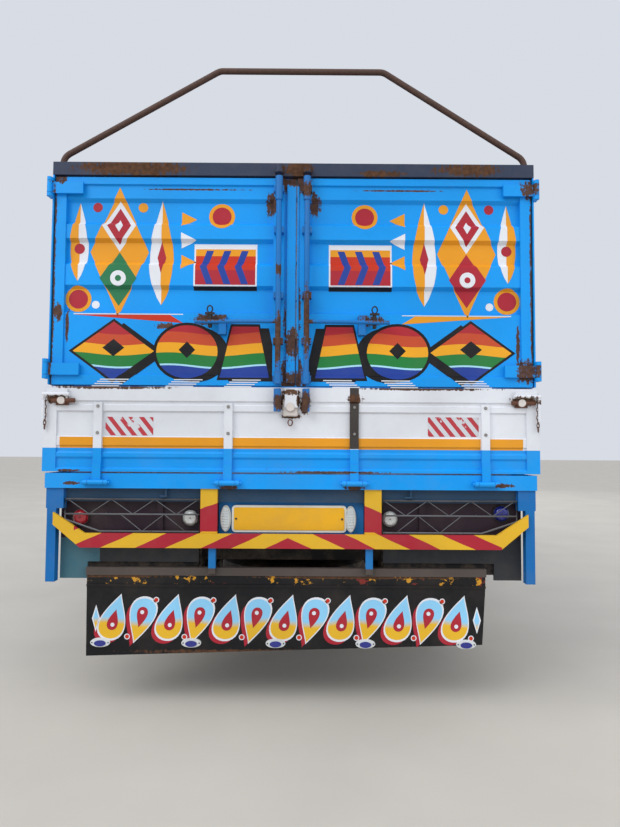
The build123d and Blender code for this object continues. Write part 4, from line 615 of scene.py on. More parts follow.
def door_motifs(paint, side, colours):
    """Upper ornament of one leaf: side -1 is the left leaf, 1 its mirror image."""
    def put(colour, points, layer=0):
        paint.add(colours[colour], mirrored(points, side), layer)

    # Tall stepped lozenge with nested lozenges
    put("yellow", lozenge(0.80, 2.045, 0.135, 0.30))
    put("white", lozenge(0.80, 2.165, 0.078, 0.118), 1)
    put("red", lozenge(0.80, 2.165, 0.055, 0.085), 2)
    put("white", lozenge(0.80, 2.165, 0.018, 0.030), 3)
    inner = "green" if side < 0 else "red"
    put(inner, lozenge(0.80, 1.920, 0.085, 0.125), 1)
    put("white", oval(0.80, 1.920, 0.036), 2)
    put(inner, oval(0.80, 1.920, 0.014), 3)
    # Half and half spindles beside it
    put("white", spindle(0.985, 1.905, 2.275, 0.042))
    put("yellow", spindle(0.985, 1.905, 2.275, 0.042, side=1), 1)
    put("red", oval(0.985, 2.06, 0.024), 2)
    put("yellow", spindle(0.605, 1.80, 2.285, 0.055, side=-1))
    put("white", spindle(0.605, 1.80, 2.285, 0.055, side=1), 1)
    put("red", lozenge(0.605, 2.02, 0.020, 0.075), 2)
    # Pennants
    for i, colour in enumerate(("yellow", "white", "yellow")):
        z = 2.20 - 0.10 * i
        put(colour, [(0.515, z - 0.035), (0.515, z + 0.035), (0.445, z)])
    # Ringed dots
    for x, z, r in ((0.985, 1.825, 0.046), (0.33, 2.215, 0.046)):
        put("yellow", oval(x, z, r * 1.3))
        put("red", oval(x, z, r * 0.95), 1)
    put("red", oval(0.905, 2.255, 0.022))
    put("yellow", oval(0.695, 2.255, 0.022))
    put("white", oval(0.905, 1.80, 0.018))
    # Panel of chevrons
    put("white", strip(0.165, 1.885, 0.455, 2.085))
    put("yellow", strip(0.172, 2.030, 0.448, 2.062), 1)
    put("coral", strip(0.172, 1.960, 0.448, 2.030), 1)
    put("red", strip(0.172, 1.892, 0.448, 1.960), 1)
    for i in range(3):
        x = 0.205 + 0.08 * i
        put("blue", [(x, 1.895), (x + 0.032, 1.895), (x + 0.062, 1.975), (x + 0.032, 2.055), (x, 2.055),
                     (x + 0.030, 1.975)], 2)
    put("black", strip(0.165, 1.868, 0.455, 1.885), 1)
    # Pennon over the row below
    tail = "coral" if side < 0 else "yellow"
    put(tail, [(1.00, 1.752), (0.50, 1.715), (0.56, 1.752)])
    put("white", strip(0.50, 1.753, 1.00, 1.757))


def row_shapes(paint, side, colours, rainbow):
    """The big rainbow figures low on one leaf, with dark shadows and pale strokes under them."""
    def put(material, points, layer=0):
        paint.add(material, mirrored(points, side), layer)

    figures = (
        (lozenge(0.815, 1.585, 0.185, 0.135), "lozenge"),
        (oval(0.480, 1.583, 0.140, 0.122), "round"),
        ([(0.330, 1.465), (0.105, 1.465), (0.155, 1.70), (0.275, 1.70)], "trapeze"),
    )
    for points, kind in figures:
        shadow = moved(points, -0.045, -0.012, 1.04)
        put(colours["black"], moved(points, 0.0, 0.0, 1.10), 0)
        put(colours["black"], shadow, 1)
        put(rainbow, points, 2)
        cx = sum(x for x, _ in points) / len(points)
        if kind == "lozenge":
            put(colours["black"], lozenge(cx, 1.60, 0.05, 0.04), 3)
        elif kind == "round":
            put(colours["black"], lozenge(cx, 1.592, 0.038, 0.038), 3)
        for i in range(4):
            z = 1.452 - 0.010 * i
            put(colours["white"], strip(cx - 0.075 + 0.014 * i, z, cx + 0.055 + 0.012 * i, z + 0.0045), 3)


def build_door_ornament():
    """Figures on both rear doors, laid over the pressed steps."""
    colours = signwriter_colours()
    levels = [door_low.z + share * (door_high.z - door_low.z) for share, _ in SHEET_STEPS[1:-1]]
    for side, name in ((-1, "rear_door_left"), (1, "rear_door_right")):
        paint = Paintwork(on_rear(TAIL + 0.006, door_depth), REAR, levels)
        door_motifs(paint, side, colours)
        row_shapes(paint, side, colours, rainbow())
        paint.build("door_ornament_" + name[10:], name)


def build_finishes():
    """Every CAD node gets its finish."""
    blue = enamel("sky blue oil enamel on sheet steel", SKY_BLUE, rust=0.36, dust=0.05)
    finish_node(["body_posts", "headboard", "side_sills", "upper_side_walls"], blue)
    doors = enamel("sky blue oil enamel on pressed doors", SKY_BLUE, rust=0.30, dust=0.03, grime_at=(
        (0.0, 2.37, 0.10, 0.07), (0.0, 1.46, 0.075, 0.14), (0.0, 1.75, 0.05, 0.25),
        (-0.38, 1.73, 0.10, 0.035), (0.36, 1.73, 0.07, 0.035), (-1.07, 1.76, 0.03, 0.05),
        (1.07, 1.50, 0.07, 0.07), (-1.08, 2.38, 0.05, 0.04), (1.08, 2.34, 0.05, 0.06),
        (-1.094, 1.90, 0.012, 0.75), (1.094, 1.90, 0.012, 0.75), (-0.10, 2.27, 0.035, 0.08),
        (0.10, 2.27, 0.035, 0.08), (-0.45, 2.337, 0.30, 0.006), (0.5, 2.337, 0.25, 0.006),
        (-0.58, 1.70, 0.06, 0.02), (-1.03, 1.70, 0.012, 0.10), (1.03, 1.62, 0.012, 0.12)))
    finish_node(["rear_door_left", "rear_door_right"], doors)
    finish_node(["rear_sill"], rear_sill_paint())
    gate = banded_enamel("white, amber and blue banded enamel",
                         [(0.0, SKY_BLUE), (BAND_FOOT, ORANGE), (BAND_TOP, SIGNAL_WHITE)],
                         rust=0.3, dust=0.12)
    finish_node(["tailgate"], tailgate_paint())
    finish_node(["side_gate_left_rear", "side_gate_left_front", "side_gate_right_rear",
                 "side_gate_right_front"], gate)
    finish_node(["lock_rods_left", "lock_rods_right"], enamel(
        "chipped blue enamel on round steel", "#0E6FB8", rust=0.85, dust=0.12, grime_at=(
            (-0.064, 1.63, 0.05, 0.16), (0.064, 1.72, 0.05, 0.20), (-0.37, 1.735, 0.10, 0.03),
            (0.37, 1.735, 0.10, 0.03), (0.064, 2.32, 0.05, 0.05), (-0.064, 1.95, 0.04, 0.04))))
    finish_node(["top_rail"], enamel(
        "slate oil paint on steel", "#2F3A50", rust=0.62, dust=0.16, gloss=0.55, grime_at=(
            (-0.75, 2.43, 0.35, 0.05), (0.02, 2.43, 0.10, 0.05), (0.80, 2.43, 0.20, 0.04),
            (0.40, 2.41, 0.15, 0.02))))
    finish_node(["roof_bows"], rusty_steel("rusted reinforcing bar", "#5C3F33", "#33221C"))
    finish_node(["lamp_guards"], rusty_steel("blackened steel wire", "#4A4644", "#1D1C1C", "#5A5A5C", 0.6))
    chassis = enamel("black chassis paint with road dirt", "#1E1C1B", rust=0.5, dust=0.7, gloss=0.6)
    finish_node(["chassis_frame", "underframe", "leaf_springs", "front_axle", "rear_axle", "rear_mudguards",
                 "fuel_tank", "battery_and_air_tank", "knuckle_left", "knuckle_right", "tie_rod"], chassis)
    finish_node(["engine_block"], rusty_steel("oily cast iron", "#4B4744", "#232120", "#5E5A56", 0.6))
    finish_node(["propshaft", "exhaust"], rusty_steel("scaled tube steel", "#6B4A38", "#3A2A22", "#57504B"))
    tyres = dusty_rubber("vulcanised tyre rubber")
    finish_node([n for n in NODES if n.startswith("tyre")] + ["spare_wheel"], tyres)
    rims = enamel("grey-white wheel enamel", "#A9AAA6", rust=0.5, dust=0.6, gloss=0.5)
    finish_node([n for n in NODES if n.startswith("rim")], rims)
    cab = banded_enamel("white, amber and blue cab enamel",
                        [(0.0, SKY_BLUE), (1.30, ORANGE), (1.36, SIGNAL_WHITE)], rust=0.2, dust=0.25,
                        gloss=0.33)
    finish_node(["cab_shell", "cab_door_left", "cab_door_right"], cab)
    plastic = moulded_plastic("grained black plastic")
    finish_node(["dashboard", "grille", "mirrors", "steering_wheel"], plastic)
    finish_node(["front_bumper"], enamel("white bumper enamel", "#D3D5D6", rust=0.2, dust=0.35))
    finish_node(["cab_glass", "door_glass_left", "door_glass_right"],
                clear_glass("toughened window glass", "#8FA6A4", 0.15))
    finish_node(["load_floor"], worn_planks("hardwood floor planks"))
    finish_node(["head_lamps"], clear_glass("clear head lamp lens", "#E8EEF2", 0.55))
    finish_node(["rear_lamps"], enamel("lamp housing enamel", "#D8D8D8"))
    finish_node(["mud_flap_board"], flap_board_paint())
    finish_node(["lamp_boards"], lamp_board_paint())
    finish_node(["rear_bumper"], striped_bumper())


class Pieces:
    """Collects simple solids with materials and makes them one object."""

    def __init__(self):
        self.bm = bmesh.new()
        self.materials = []

    def paint(self, faces, material, smooth=False):
        """Give faces their material and shading."""
        if material not in self.materials:
            self.materials.append(material)
        for face in faces:
            face.material_index = self.materials.index(material)
            face.smooth = smooth

    def box(self, material, x0, x1, y0, y1, z0, z1, bevel=0.0):
        """A box between two corners, with softened edges if there is a bevel. x0 and x1 go in any order."""
        x0, x1 = sorted((x0, x1))
        made = bmesh.ops.create_cube(self.bm, size=1.0)
        verts = made["verts"]
        place = Matrix.Translation(((x0 + x1) / 2, (y0 + y1) / 2, (z0 + z1) / 2))
        bmesh.ops.transform(self.bm, matrix=place @ Matrix.Diagonal((x1 - x0, y1 - y0, z1 - z0, 1)),
                            verts=verts)
        faces = {f for v in verts for f in v.link_faces}
        self.paint(faces, material)
        if bevel:
            edges = {e for v in verts for e in v.link_edges}
            done = bmesh.ops.bevel(self.bm, geom=list(edges), offset=bevel, segments=2, affect="EDGES")
            self.paint(done["faces"], material)

    def disc(self, material, start, end, radius, radius_end=None, sides=24, smooth=True):
        """A cylinder or cone between two points, with flat ends."""
        a, b = Vector(start), Vector(end)
        radius_end = radius if radius_end is None else radius_end
        made = bmesh.ops.create_cone(self.bm, cap_ends=True, segments=sides, radius1=radius,
                                     radius2=radius_end, depth=(b - a).length)
        turn = Vector((0, 0, 1)).rotation_difference(b - a).to_matrix().to_4x4()
        bmesh.ops.transform(self.bm, matrix=Matrix.Translation((a + b) / 2) @ turn, verts=made["verts"])
        faces = {f for v in made["verts"] for f in v.link_faces}
        self.paint(faces, material)
        for face in faces:
            face.smooth = smooth and len(face.verts) == 4

    def tube(self, material, points, radius, sides=8, closed=False):
        """A round wire along points."""
        points = [Vector(q) for q in points]
        count = len(points)
        rings = []
        for i, here in enumerate(points):
            before = points[i - 1] if (i or closed) else here
            after = points[(i + 1) % count] if (i < count - 1 or closed) else here
            along = (after - before).normalized()
            side = along.cross(Vector((0, 0, 1)))
            if side.length < 0.05:
                side = along.cross(Vector((0, 1, 0)))
            side.normalize()
            rise = side.cross(along)
            ring = []
            for k in range(sides):
                angle = math.tau * k / sides
                spoke = side * math.cos(angle) + rise * math.sin(angle)
                ring.append(self.bm.verts.new(here + spoke * radius))
            rings.append(ring)
        faces = []
        for i in range(count if closed else count - 1):
            a, b = rings[i], rings[(i + 1) % count]
            for k in range(sides):
                faces.append(self.bm.faces.new((a[k], a[(k + 1) % sides], b[(k + 1) % sides], b[k])))
        if not closed:
            faces.append(self.bm.faces.new(rings[0][::-1]))
            faces.append(self.bm.faces.new(rings[-1]))
        self.paint(faces, material, True)

    def plate(self, material, outline, y0, y1):
        """A flat plate from an outline of (x, z) points between two y places."""
        back = [self.bm.verts.new((x, y1, z)) for x, z in outline]
        front = [self.bm.verts.new((x, y0, z)) for x, z in outline]
        count = len(outline)
        faces = [self.bm.faces.new(front), self.bm.faces.new(back[::-1])]
        for i in range(count):
            k = (i + 1) % count
            faces.append(self.bm.faces.new((front[i], back[i], back[k], front[k])))
        self.paint(faces, material)

    def build(self, name, body):
        """Make everything collected one piece that rides on a body."""
        bmesh.ops.recalc_face_normals(self.bm, faces=self.bm.faces[:])
        return ride_mesh(self.bm, name, body, self.materials)


# The plane that the tail's fittings are placed from, y in metres
TAIL = rail_low.y + 0.0465


def striped_bumper():
    """Hand-painted warning stripes: amber and crimson bars that lean to the middle, blue stays and a rusty
    rail."""
    material, tree, shader, where = new_material("amber and crimson striped enamel")
    x, _, z = add(tree, "SeparateXYZ", (where,), slice(3))
    wobble = add(tree, "TexNoise", {"Scale": 6.0, "Detail": 2.0, "Vector": where})
    jitter = add(tree, "Math.MULTIPLY", (wobble, 0.03))
    across = add(tree, "Math.ABSOLUTE", (add(tree, "Math.SUBTRACT", (x, -0.012)),))
    lean = add(tree, "Math.ADD", (add(tree, "Math.MULTIPLY_ADD", (z, 2.2, across)), jitter))
    phase = add(tree, "Math.DIVIDE", (lean, bpy.context.scene.lorry_sizes.stripe_pitch))
    bar = add(tree, "Math.FLOORED_MODULO", (add(tree, "Math.ADD", (phase, 0.28)), 1.0))
    split = add(tree, "Math.ADD", (add(tree, "Math.MULTIPLY_ADD", (across, 0.41, z)), jitter))
    upright = (("GREATER_THAN", z, 0.772), ("LESS_THAN", across, 0.43))
    colour = YELLOW
    for paint, *tests in (
            (RED, ("GREATER_THAN", bar, 0.52)), (YELLOW, ("GREATER_THAN", across, 0.955)), (YELLOW, *upright),
            (RED, *upright, ("LESS_THAN", split, 1.047)), ("#1573B8", ("LESS_THAN", z, 0.699)),
            ("#4E4642", ("LESS_THAN", z, 0.609))):
        colour = overpaint(tree, colour, paint, *tests)
    aged(tree, shader, where, colour, rust=0.3, dust=0.12)
    return material


# The tailgate's straps, x in metres, and half the width of one
STRAPS = (-0.872, -0.285, 0.283, 0.874)
STRAP_REACH = 0.0205


def tailgate_paint():
    """Oil enamel in blue, amber and white bands. The straps are white where they cross the amber band, and
    one has lost its paint."""
    material, tree, shader, where = new_material("white, amber and blue banded tailgate enamel")
    x, y, z = add(tree, "SeparateXYZ", (where,), slice(3))
    across = add(tree, "Math.ABSOLUTE", (x,))
    plain = add(tree, "Math.GREATER_THAN", (across, 1.045))
    for strap in STRAPS:
        near = add(tree, "Math.COMPARE", (x, strap, STRAP_REACH))
        plain = add(tree, "Math.MAXIMUM", (plain, near))
    keeper = (("LESS_THAN", y, TAIL - 0.0145), ("LESS_THAN", across, 0.095),
              ("GREATER_THAN", across, 0.046))
    bare = (("COMPARE", x, STRAPS[2], STRAP_REACH), ("GREATER_THAN", z, 1.145))
    colour = SIGNAL_WHITE
    for paint, *tests in ((ORANGE, ("LESS_THAN", z, BAND_TOP), ("LESS_THAN", plain, 0.5)),
                          (SKY_BLUE, ("LESS_THAN", z, BAND_FOOT)), ("#0E6FB8", *keeper), ("#3A3634", *bare)):
        colour = overpaint(tree, colour, paint, *tests)
    aged(tree, shader, where, colour, rust=0.26, dust=0.12, grime_at=(
        (-0.062, 1.352, 0.028, 0.055), (0.062, 1.350, 0.030, 0.070), (0.0, 1.290, 0.06, 0.014),
        (-0.006, 1.398, 0.05, 0.018), (-0.040, 1.37, 0.012, 0.03), (0.030, 1.36, 0.010, 0.03),
        (-1.06, 1.36, 0.07, 0.026), (1.06, 1.365, 0.09, 0.030), (0.283, 1.37, 0.05, 0.03),
        (-0.80, 1.418, 0.35, 0.012), (0.60, 1.418, 0.40, 0.010), (-1.0, 1.042, 0.07, 0.008),
        (0.2, 1.04, 0.3, 0.006)))
    return material


# Where the sill's corner legs start, from the middle
LEG_START = 1.018


def rear_sill_paint():
    """Blue sill; below its lower edge, a dark slate blue across the middle and a darker blue on the corner
    legs.
    """
    material, tree, shader, where = new_material("blue and slate sill enamel")
    x, _, z = add(tree, "SeparateXYZ", (where,), slice(3))
    across = add(tree, "Math.ABSOLUTE", (x,))
    # Below the sill's lower edge the blue is drawn darker: dark slate blue across the middle, darker blue on
    # the corner legs
    below = ("LESS_THAN", z, 0.9625)
    colour = overpaint(tree, SKY_BLUE, "#24425C", below, ("LESS_THAN", across, LEG_START))
    colour = overpaint(tree, colour, "#0B68AE", below, ("GREATER_THAN", across, LEG_START))
    aged(tree, shader, where, colour, rust=0.34, dust=0.14, grime_at=(
        (-0.99, 0.985, 0.05, 0.012), (-0.285, 0.97, 0.06, 0.015), (0.95, 0.985, 0.07, 0.014),
        (0.283, 0.97, 0.06, 0.015)))
    return material


# Half the width of the panel behind the plate
PLATE_PANEL = 0.336


def lamp_board_paint():
    """Dark maroon lamp boards, a blue panel behind the plate and a grey-teal apron at the left corner."""
    material, tree, shader, where = new_material("dark maroon and blue board enamel")
    x, _, z = add(tree, "SeparateXYZ", (where,), slice(3))
    across = add(tree, "Math.ABSOLUTE", (x,))
    low = ("LESS_THAN", z, 0.735)
    colour = overpaint(tree, MAROON, "#1573B8", ("LESS_THAN", across, PLATE_PANEL))
    colour = overpaint(tree, colour, "#272B30", low, ("GREATER_THAN", across, PLATE_PANEL))
    colour = overpaint(tree, colour, "#3F6A78", low, ("LESS_THAN", x, -0.87))
    aged(tree, shader, where, colour, rust=0.3, dust=0.15)
    return material


def two_tone_script():
    """Signwriter's enamel, sky blue above running into amber below."""
    material, tree, shader, where = new_material("sky blue over amber signwriter enamel")
    blend = add(tree, "MapRange", (waving_height(tree, where, 17.0, 0.010), 0.352, 0.378))
    colour = add(tree, "Mix.RGBA", (blend, linear("#E2B22A"), linear("#8CCBEF")))
    aged(tree, shader, where, colour, rust=0.1, dust=0.08, edge=0)
    return material


def worn_hazard_film():
    """Reflective hazard tape with red diagonals, scraped back to its pale film."""
    material, tree, shader, where = new_material("worn reflective hazard film")
    x, _, z = add(tree, "SeparateXYZ", (where,), slice(3))
    lean = add(tree, "Math.MULTIPLY_ADD", (z, 0.8, x))
    bar = add(tree, "Math.FLOORED_MODULO", (add(tree, "Math.DIVIDE", (lean, 0.048)), 1.0))
    scrape = add(tree, "TexNoise", {"Scale": 18.0, "Detail": 8.0, "Roughness": 0.7, "Vector": where})
    lost = add(tree, "Math.ADD", (scrape, add(tree, "MapRange", (z, 1.20, 1.29, 0.0, 0.10))))
    colour = overpaint(tree, "#C9CDD2", "#B4323C", ("LESS_THAN", bar, 0.5), ("LESS_THAN", lost, 0.66))
    fill(shader, {"Base Color": colour, "Roughness": 0.35})
    return material


def paisley(cx, cz, half, height, bend, up, count=34):
    """The outline of a bent drop. up is 1 for a tip above and -1 for a tip below."""
    points = []
    for i in range(count):
        t = math.tau * (i + 0.5) / count
        x = half * 1.30 * math.sin(t) * math.sin(t / 2) ** 1.3
        z = height / 2 * math.cos(t)
        rise = (z / height + 0.5) ** 2
        points.append((cx + up * (x + bend * (rise - 0.25)), cz + up * z))
    return points[::-1]


def build_flap_ornament():
    """An interlocked row of bent drops with beads between them on the mud-flap board."""
    colours = signwriter_colours()
    script = two_tone_script()
    paint = Paintwork(on_rear(flap_low.y + 0.006), REAR)
    for i in range(13):
        x = -0.795 + 0.1285 * i
        up = 1 if i % 2 == 0 else -1
        level = 0.380 + 0.006 * up
        drop = paisley(x, level, 0.060, 0.190, 0.045, up)
        paint.add(colours["red"], moved(drop, -0.017, -0.017, 1.05), 0)
        paint.add(colours["white"], moved(drop, 0.0, 0.0, 1.10), 1)
        paint.add(script, drop, 2)
        heart = paisley(x, level - 0.012 * up, 0.026, 0.092, 0.020, up, 22)
        paint.add(colours["red"], heart, 3)
        paint.add(colours["white"], oval(x - 0.002 * up, level - 0.034 * up, 0.009, count=14), 4)
        bead_x, bead_z = x + 0.064, 0.463 if up < 0 else 0.300
        paint.add(colours["white"], oval(bead_x, bead_z, 0.013, count=16), 1)
        paint.add(colours["coral"], oval(bead_x, bead_z, 0.009, count=16), 2)
    for x in (-0.872, 0.838):
        paint.add(colours["white"], lozenge(x, 0.380, 0.018, 0.060), 1)
        paint.add(script, lozenge(x, 0.380, 0.012, 0.044), 2)
    paint.build("flap_ornament", "chassis")


def flap_board_paint():
    """Black oil paint on sheet iron. Flecks of older amber and red coats show along its top edge."""
    material, tree, shader, where = new_material("black oil paint on sheet iron")
    height = add(tree, "SeparateXYZ", (where,), "Z")
    old = add(tree, "TexNoise", {"Scale": 16.0, "Detail": 6.0, "Roughness": 0.7, "Vector": where})
    which = add(tree, "TexNoise", {"Scale": 4.0, "Detail": 1.0, "Vector": where})
    coat = overpaint(tree, "#C98F22", "#7E2A22", ("GREATER_THAN", which, 0.5))
    colour = overpaint(tree, "#0D0E12", coat, ("GREATER_THAN", height, 0.533), ("GREATER_THAN", old, 0.585))
    aged(tree, shader, where, colour, rust=0.3, dust=0.10, grime_at=(
        (-0.85, 0.568, 0.40, 0.010), (0.30, 0.566, 0.60, 0.008), (0.0, 0.235, 0.9, 0.015)))
    return material


def build_lamp_guards():
    """Guards bent from thin wire in front of the lamp boards."""
    wire = rusty_steel("dull grey fencing wire", "#6B6968", "#3C3938", "#7C7E82", 0.5)
    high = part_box("lamp_guards")[1]
    y = TAIL + 0.020
    pieces = Pieces()
    rows = (0.769, 0.846, 0.913)
    inner, outer, bend = 0.407, high.x - 0.004, 0.860
    for side in (-1, 1):
        def at(x, z):
            return (side * x, y, z)

        frame_line = [at(inner + 0.006, rows[0]), at(bend, rows[0]), at(outer, rows[1] - 0.024),
                      at(outer, rows[2]), at(inner + 0.006, rows[2])]
        pieces.tube(wire, frame_line, 0.0045, 8, True)
        pieces.tube(wire, [at(inner + 0.006, rows[1]), at(outer, rows[1])], 0.0040, 8)
        for row, start in ((0, 0.055), (1, 0.0)):
            x = inner + 0.012 + start
            step = row
            end = bend if row == 0 else outer
            line = []
            while x < end:
                line.append(at(x, rows[row] if step % 2 == 0 else rows[row + 1]))
                x += 0.098
                step += 1
            pieces.tube(wire, line, bpy.context.scene.lorry_sizes.guard_wire, 6)
        for x in (inner + 0.020, bend - 0.02, outer - 0.05):
            pieces.disc(wire, (side * x, y, rows[1]), (side * x, TAIL + 0.050, rows[1]), 0.004, sides=8)
    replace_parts(pieces.build("guard_wires", "chassis"), "lamp_guards")


def build_skirts():
    """Rubber sheets that close the space between the lamp boards and the flap rail."""
    rubber = dusty_rubber("sheet rubber skirt", "#141214")
    pieces = Pieces()
    for side in (-1, 1):
        pieces.box(rubber, side * 0.425, side * 0.872, TAIL + 0.0755, TAIL + 0.0785, 0.520, 0.640)
        pieces.box(rubber, side * 0.872, side * 0.952, TAIL + 0.0755, TAIL + 0.0785, 0.574, 0.640)
    pieces.build("mud_skirts", "chassis")


def build_plate():
    """Blank yellow plate in a pale frame with a clear lamp at each side."""
    plastic = black_plastic()
    pieces = Pieces()
    rim = enamel("pale plate frame enamel", "#D9DAD2", rust=0.15, dust=0.3)
    sheet = enamel("amber reflective plate sheet", "#E8AE22", rust=0.05, dust=0.25, gloss=0.3)
    x0, x1, z0, z1 = -0.270, 0.252, 0.765, 0.887
    level = 0.826
    face = TAIL + 0.048
    for grow, material, y in ((0.0, rim, face), (-0.010, sheet, face - 0.002)):
        outline = rounded(x0 - grow, x1 + grow, z0 - grow, z1 + grow, 0.018 + grow)
        pieces.plate(material, outline, y, TAIL + 0.062)
    for x in (x0 + 0.02, x1 - 0.02):
        pieces.disc(plastic, (x, face - 0.004, level), (x, face, level), 0.005)
    pieces.build("number_plate", "chassis")
    lamps = Pieces()
    glass = clear_glass("clear ribbed lamp plastic", "#D5DCDD", 0.8)
    for x in (-0.298, 0.271):
        lamps.plate(rim, oval(x, level, 0.025, 0.060), TAIL + 0.050, TAIL + 0.062)
        lamps.plate(glass, oval(x, level, 0.020, 0.054), TAIL + 0.034, TAIL + 0.050)
        for k in range(7):
            z = 0.790 + 0.012 * k
            lamps.tube(glass, [(x - 0.014, TAIL + 0.034, z), (x + 0.014, TAIL + 0.034, z)], 0.002, 6)
    lamps.build("plate_lamps", "chassis")


def rounded(x0, x1, z0, z1, radius, steps=5):
    """A rectangle's outline with rounded corners."""
    points = []
    for cx, cz, start in ((x1 - radius, z1 - radius, 0), (x0 + radius, z1 - radius, 90),
                          (x0 + radius, z0 + radius, 180), (x1 - radius, z0 + radius, 270)):
        for k in range(steps + 1):
            a = math.radians(start + 90 * k / steps)
            points.append((cx + radius * math.cos(a), cz + radius * math.sin(a)))
    return points


# The moulded colour of every amber lens
AMBER_LENS = "#D97A14"


def lens(name, code):
    """Moulded lamp plastic in one colour, glossy with a fine prism grain."""
    material, tree, shader, where = new_material(name)
    grain = add(tree, "TexVoronoi", {"Scale": 180.0, "Vector": where})
    base = linear(code)
    dark = (*(c * 0.7 for c in base[:3]), 1.0)
    fill(shader, {
        "Base Color": add(tree, "Mix.RGBA", (grain, base, dark)), "Roughness": 0.18, "Coat Weight": 0.4,
        "Normal": add(tree, "Bump", {"Strength": 0.4, "Distance": 0.001, "Height": grain}),
    })
    return material


def build_rear_lamps():
    """Round lamps on the boards and oval lamps along the flap."""
    plastic = black_plastic()
    pieces = Pieces()
    pale = enamel("chalky white lamp plastic", "#D8DCDD", rust=0.05, dust=0.35)
    red = lens("red lamp lens", "#B01E2A")
    white = lens("milky lamp lens", "#D9DDDA")
    blue = lens("blue lamp lens", "#232C8C")
    face = TAIL + 0.062
    for x, z, material in ((-0.957, 0.828, red), (-0.458, 0.828, white), (0.449, 0.828, white),
                           (0.957, 0.855, blue)):
        pieces.disc(plastic, (x, face, z), (x, face - 0.012, z), 0.0375)
        pieces.disc(material, (x, face - 0.012, z), (x, face - 0.020, z), 0.0355, 0.034)
        pieces.disc(material, (x, face - 0.020, z), (x, face - 0.024, z), 0.034, 0.020)
        pieces.disc(plastic, (x, face - 0.024, z), (x, face - 0.0255, z), 0.003, sides=10)
    face = TAIL + 0.034
    for x in (-0.849, -0.442, -0.065, 0.337, 0.788):
        pieces.plate(pale, oval(x, 0.275, 0.044, 0.020), face - 0.008, face)
        pieces.plate(blue, oval(x, 0.272, 0.026, 0.013), face - 0.012, face - 0.008)
        for side in (-1, 1):
            pieces.disc(plastic, (x + side * 0.036, face - 0.010, 0.275),
                        (x + side * 0.036, face - 0.007, 0.275), 0.003, sides=8)
    made = pieces.build("rear_lamp_set", "chassis")
    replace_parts(made, "rear_lamps")


def build_tailgate_trim():
    """Hazard tape, bolts, latches and chains on the tailgate."""
    steel = dull_zinc()
    film = worn_hazard_film()
    paint = Paintwork(on_rear(TAIL + 0.009), REAR)
    paint.add(film, rounded(-0.841, -0.625, 1.200, 1.284, 0.006))
    paint.add(film, rounded(0.616, 0.846, 1.203, 1.291, 0.006))
    paint.build("hazard_tape", "tailgate")
    pieces = Pieces()
    rust = rusty_steel("rusted latch steel", "#7E4E36", "#3D241A", "#5C4C44", 0.85)
    pale = enamel("scuffed pale latch enamel", "#D6CFCA", rust=0.75, dust=0.3, gloss=0.5, edge=0.005)
    for x in STRAPS:
        for z in BOLT_ROWS[::-1]:
            pieces.disc(steel, (x, TAIL - 0.008, z), (x, TAIL - 0.013, z), 0.0085, 0.006, sides=6,
                        smooth=False)
    for side in (-1, 1):
        x = side * 1.035
        pieces.disc(rust, (x - 0.045, TAIL - 0.012, 1.356), (x + 0.06, TAIL - 0.012, 1.356), 0.010)
        pieces.disc(pale, (x, TAIL - 0.006, 1.356), (x, TAIL - 0.022, 1.356), 0.017)
        pieces.box(rust, x - 0.028, x + 0.028, TAIL - 0.006, TAIL + 0.004, 1.335, 1.375)
        chain_x = side * 1.108
        for k in range(7):
            z = 1.345 - 0.018 * k
            turn = k % 2
            ring = []
            for q in range(10):
                a = math.tau * q / 10
                across = 0.0055 * math.cos(a)
                ring.append((chain_x + (across if turn else 0), TAIL - 0.012 + (0 if turn else across),
                             z + 0.012 * math.sin(a)))
            pieces.tube(rust, ring, 0.0022, 6, True)
    pieces.box(pale, -0.040, 0.028, TAIL - 0.014, TAIL + 0.002, 1.290, 1.368, 0.003)
    pieces.disc(pale, (-0.006, TAIL - 0.013, 1.332), (-0.006, TAIL - 0.024, 1.332), 0.020)
    loop = [(-0.006 + 0.010 * math.cos(a), TAIL - 0.008, 1.262 + 0.014 * math.sin(a))
            for a in [math.tau * q / 14 for q in range(14)]]
    pieces.tube(rust, loop, 0.003, 6, True)
    pieces.build("tailgate_fittings", "tailgate")


# Wheels. A tyre's half section from bead to crown: across, radius, and how deep a tread cut lowers it
WALL_SECTION = (
    (0.0735, 0.2036), (0.0745, 0.2240), (0.0830, 0.2330), (0.0835, 0.2345), (0.0965, 0.2620),
    (0.1040, 0.2820), (0.1052, 0.2828), (0.1073, 0.3000), (0.1075, 0.3090), (0.1070, 0.3180),
    (0.1056, 0.3190), (0.1040, 0.3350), (0.1048, 0.3360), (0.1010, 0.3560), (0.0990, 0.3570),
    (0.0955, 0.3765),
)
TREAD_SECTION = (
    (0.0925, 0.3860, 0.004), (0.0875, 0.3955, 0.009), (0.0845, 0.3976, 0.010), (0.0590, 0.3999, 0.010),
    (0.0570, 0.4000, 0.0), (0.0560, 0.3915, 0.0), (0.0480, 0.3915, 0.0), (0.0470, 0.4008, 0.0),
    (0.0205, 0.4021, 0.0), (0.0195, 0.3930, 0.0), (0.0115, 0.3930, 0.0), (0.0105, 0.4024, 0.0),
)
# Shares of one pitch: a lug's start and end, and the cut's start and end
PITCH_STEPS = ((0.0, 0), (0.05, 1), (0.60, 1), (0.65, 0))
ZIGZAG = 0.0035


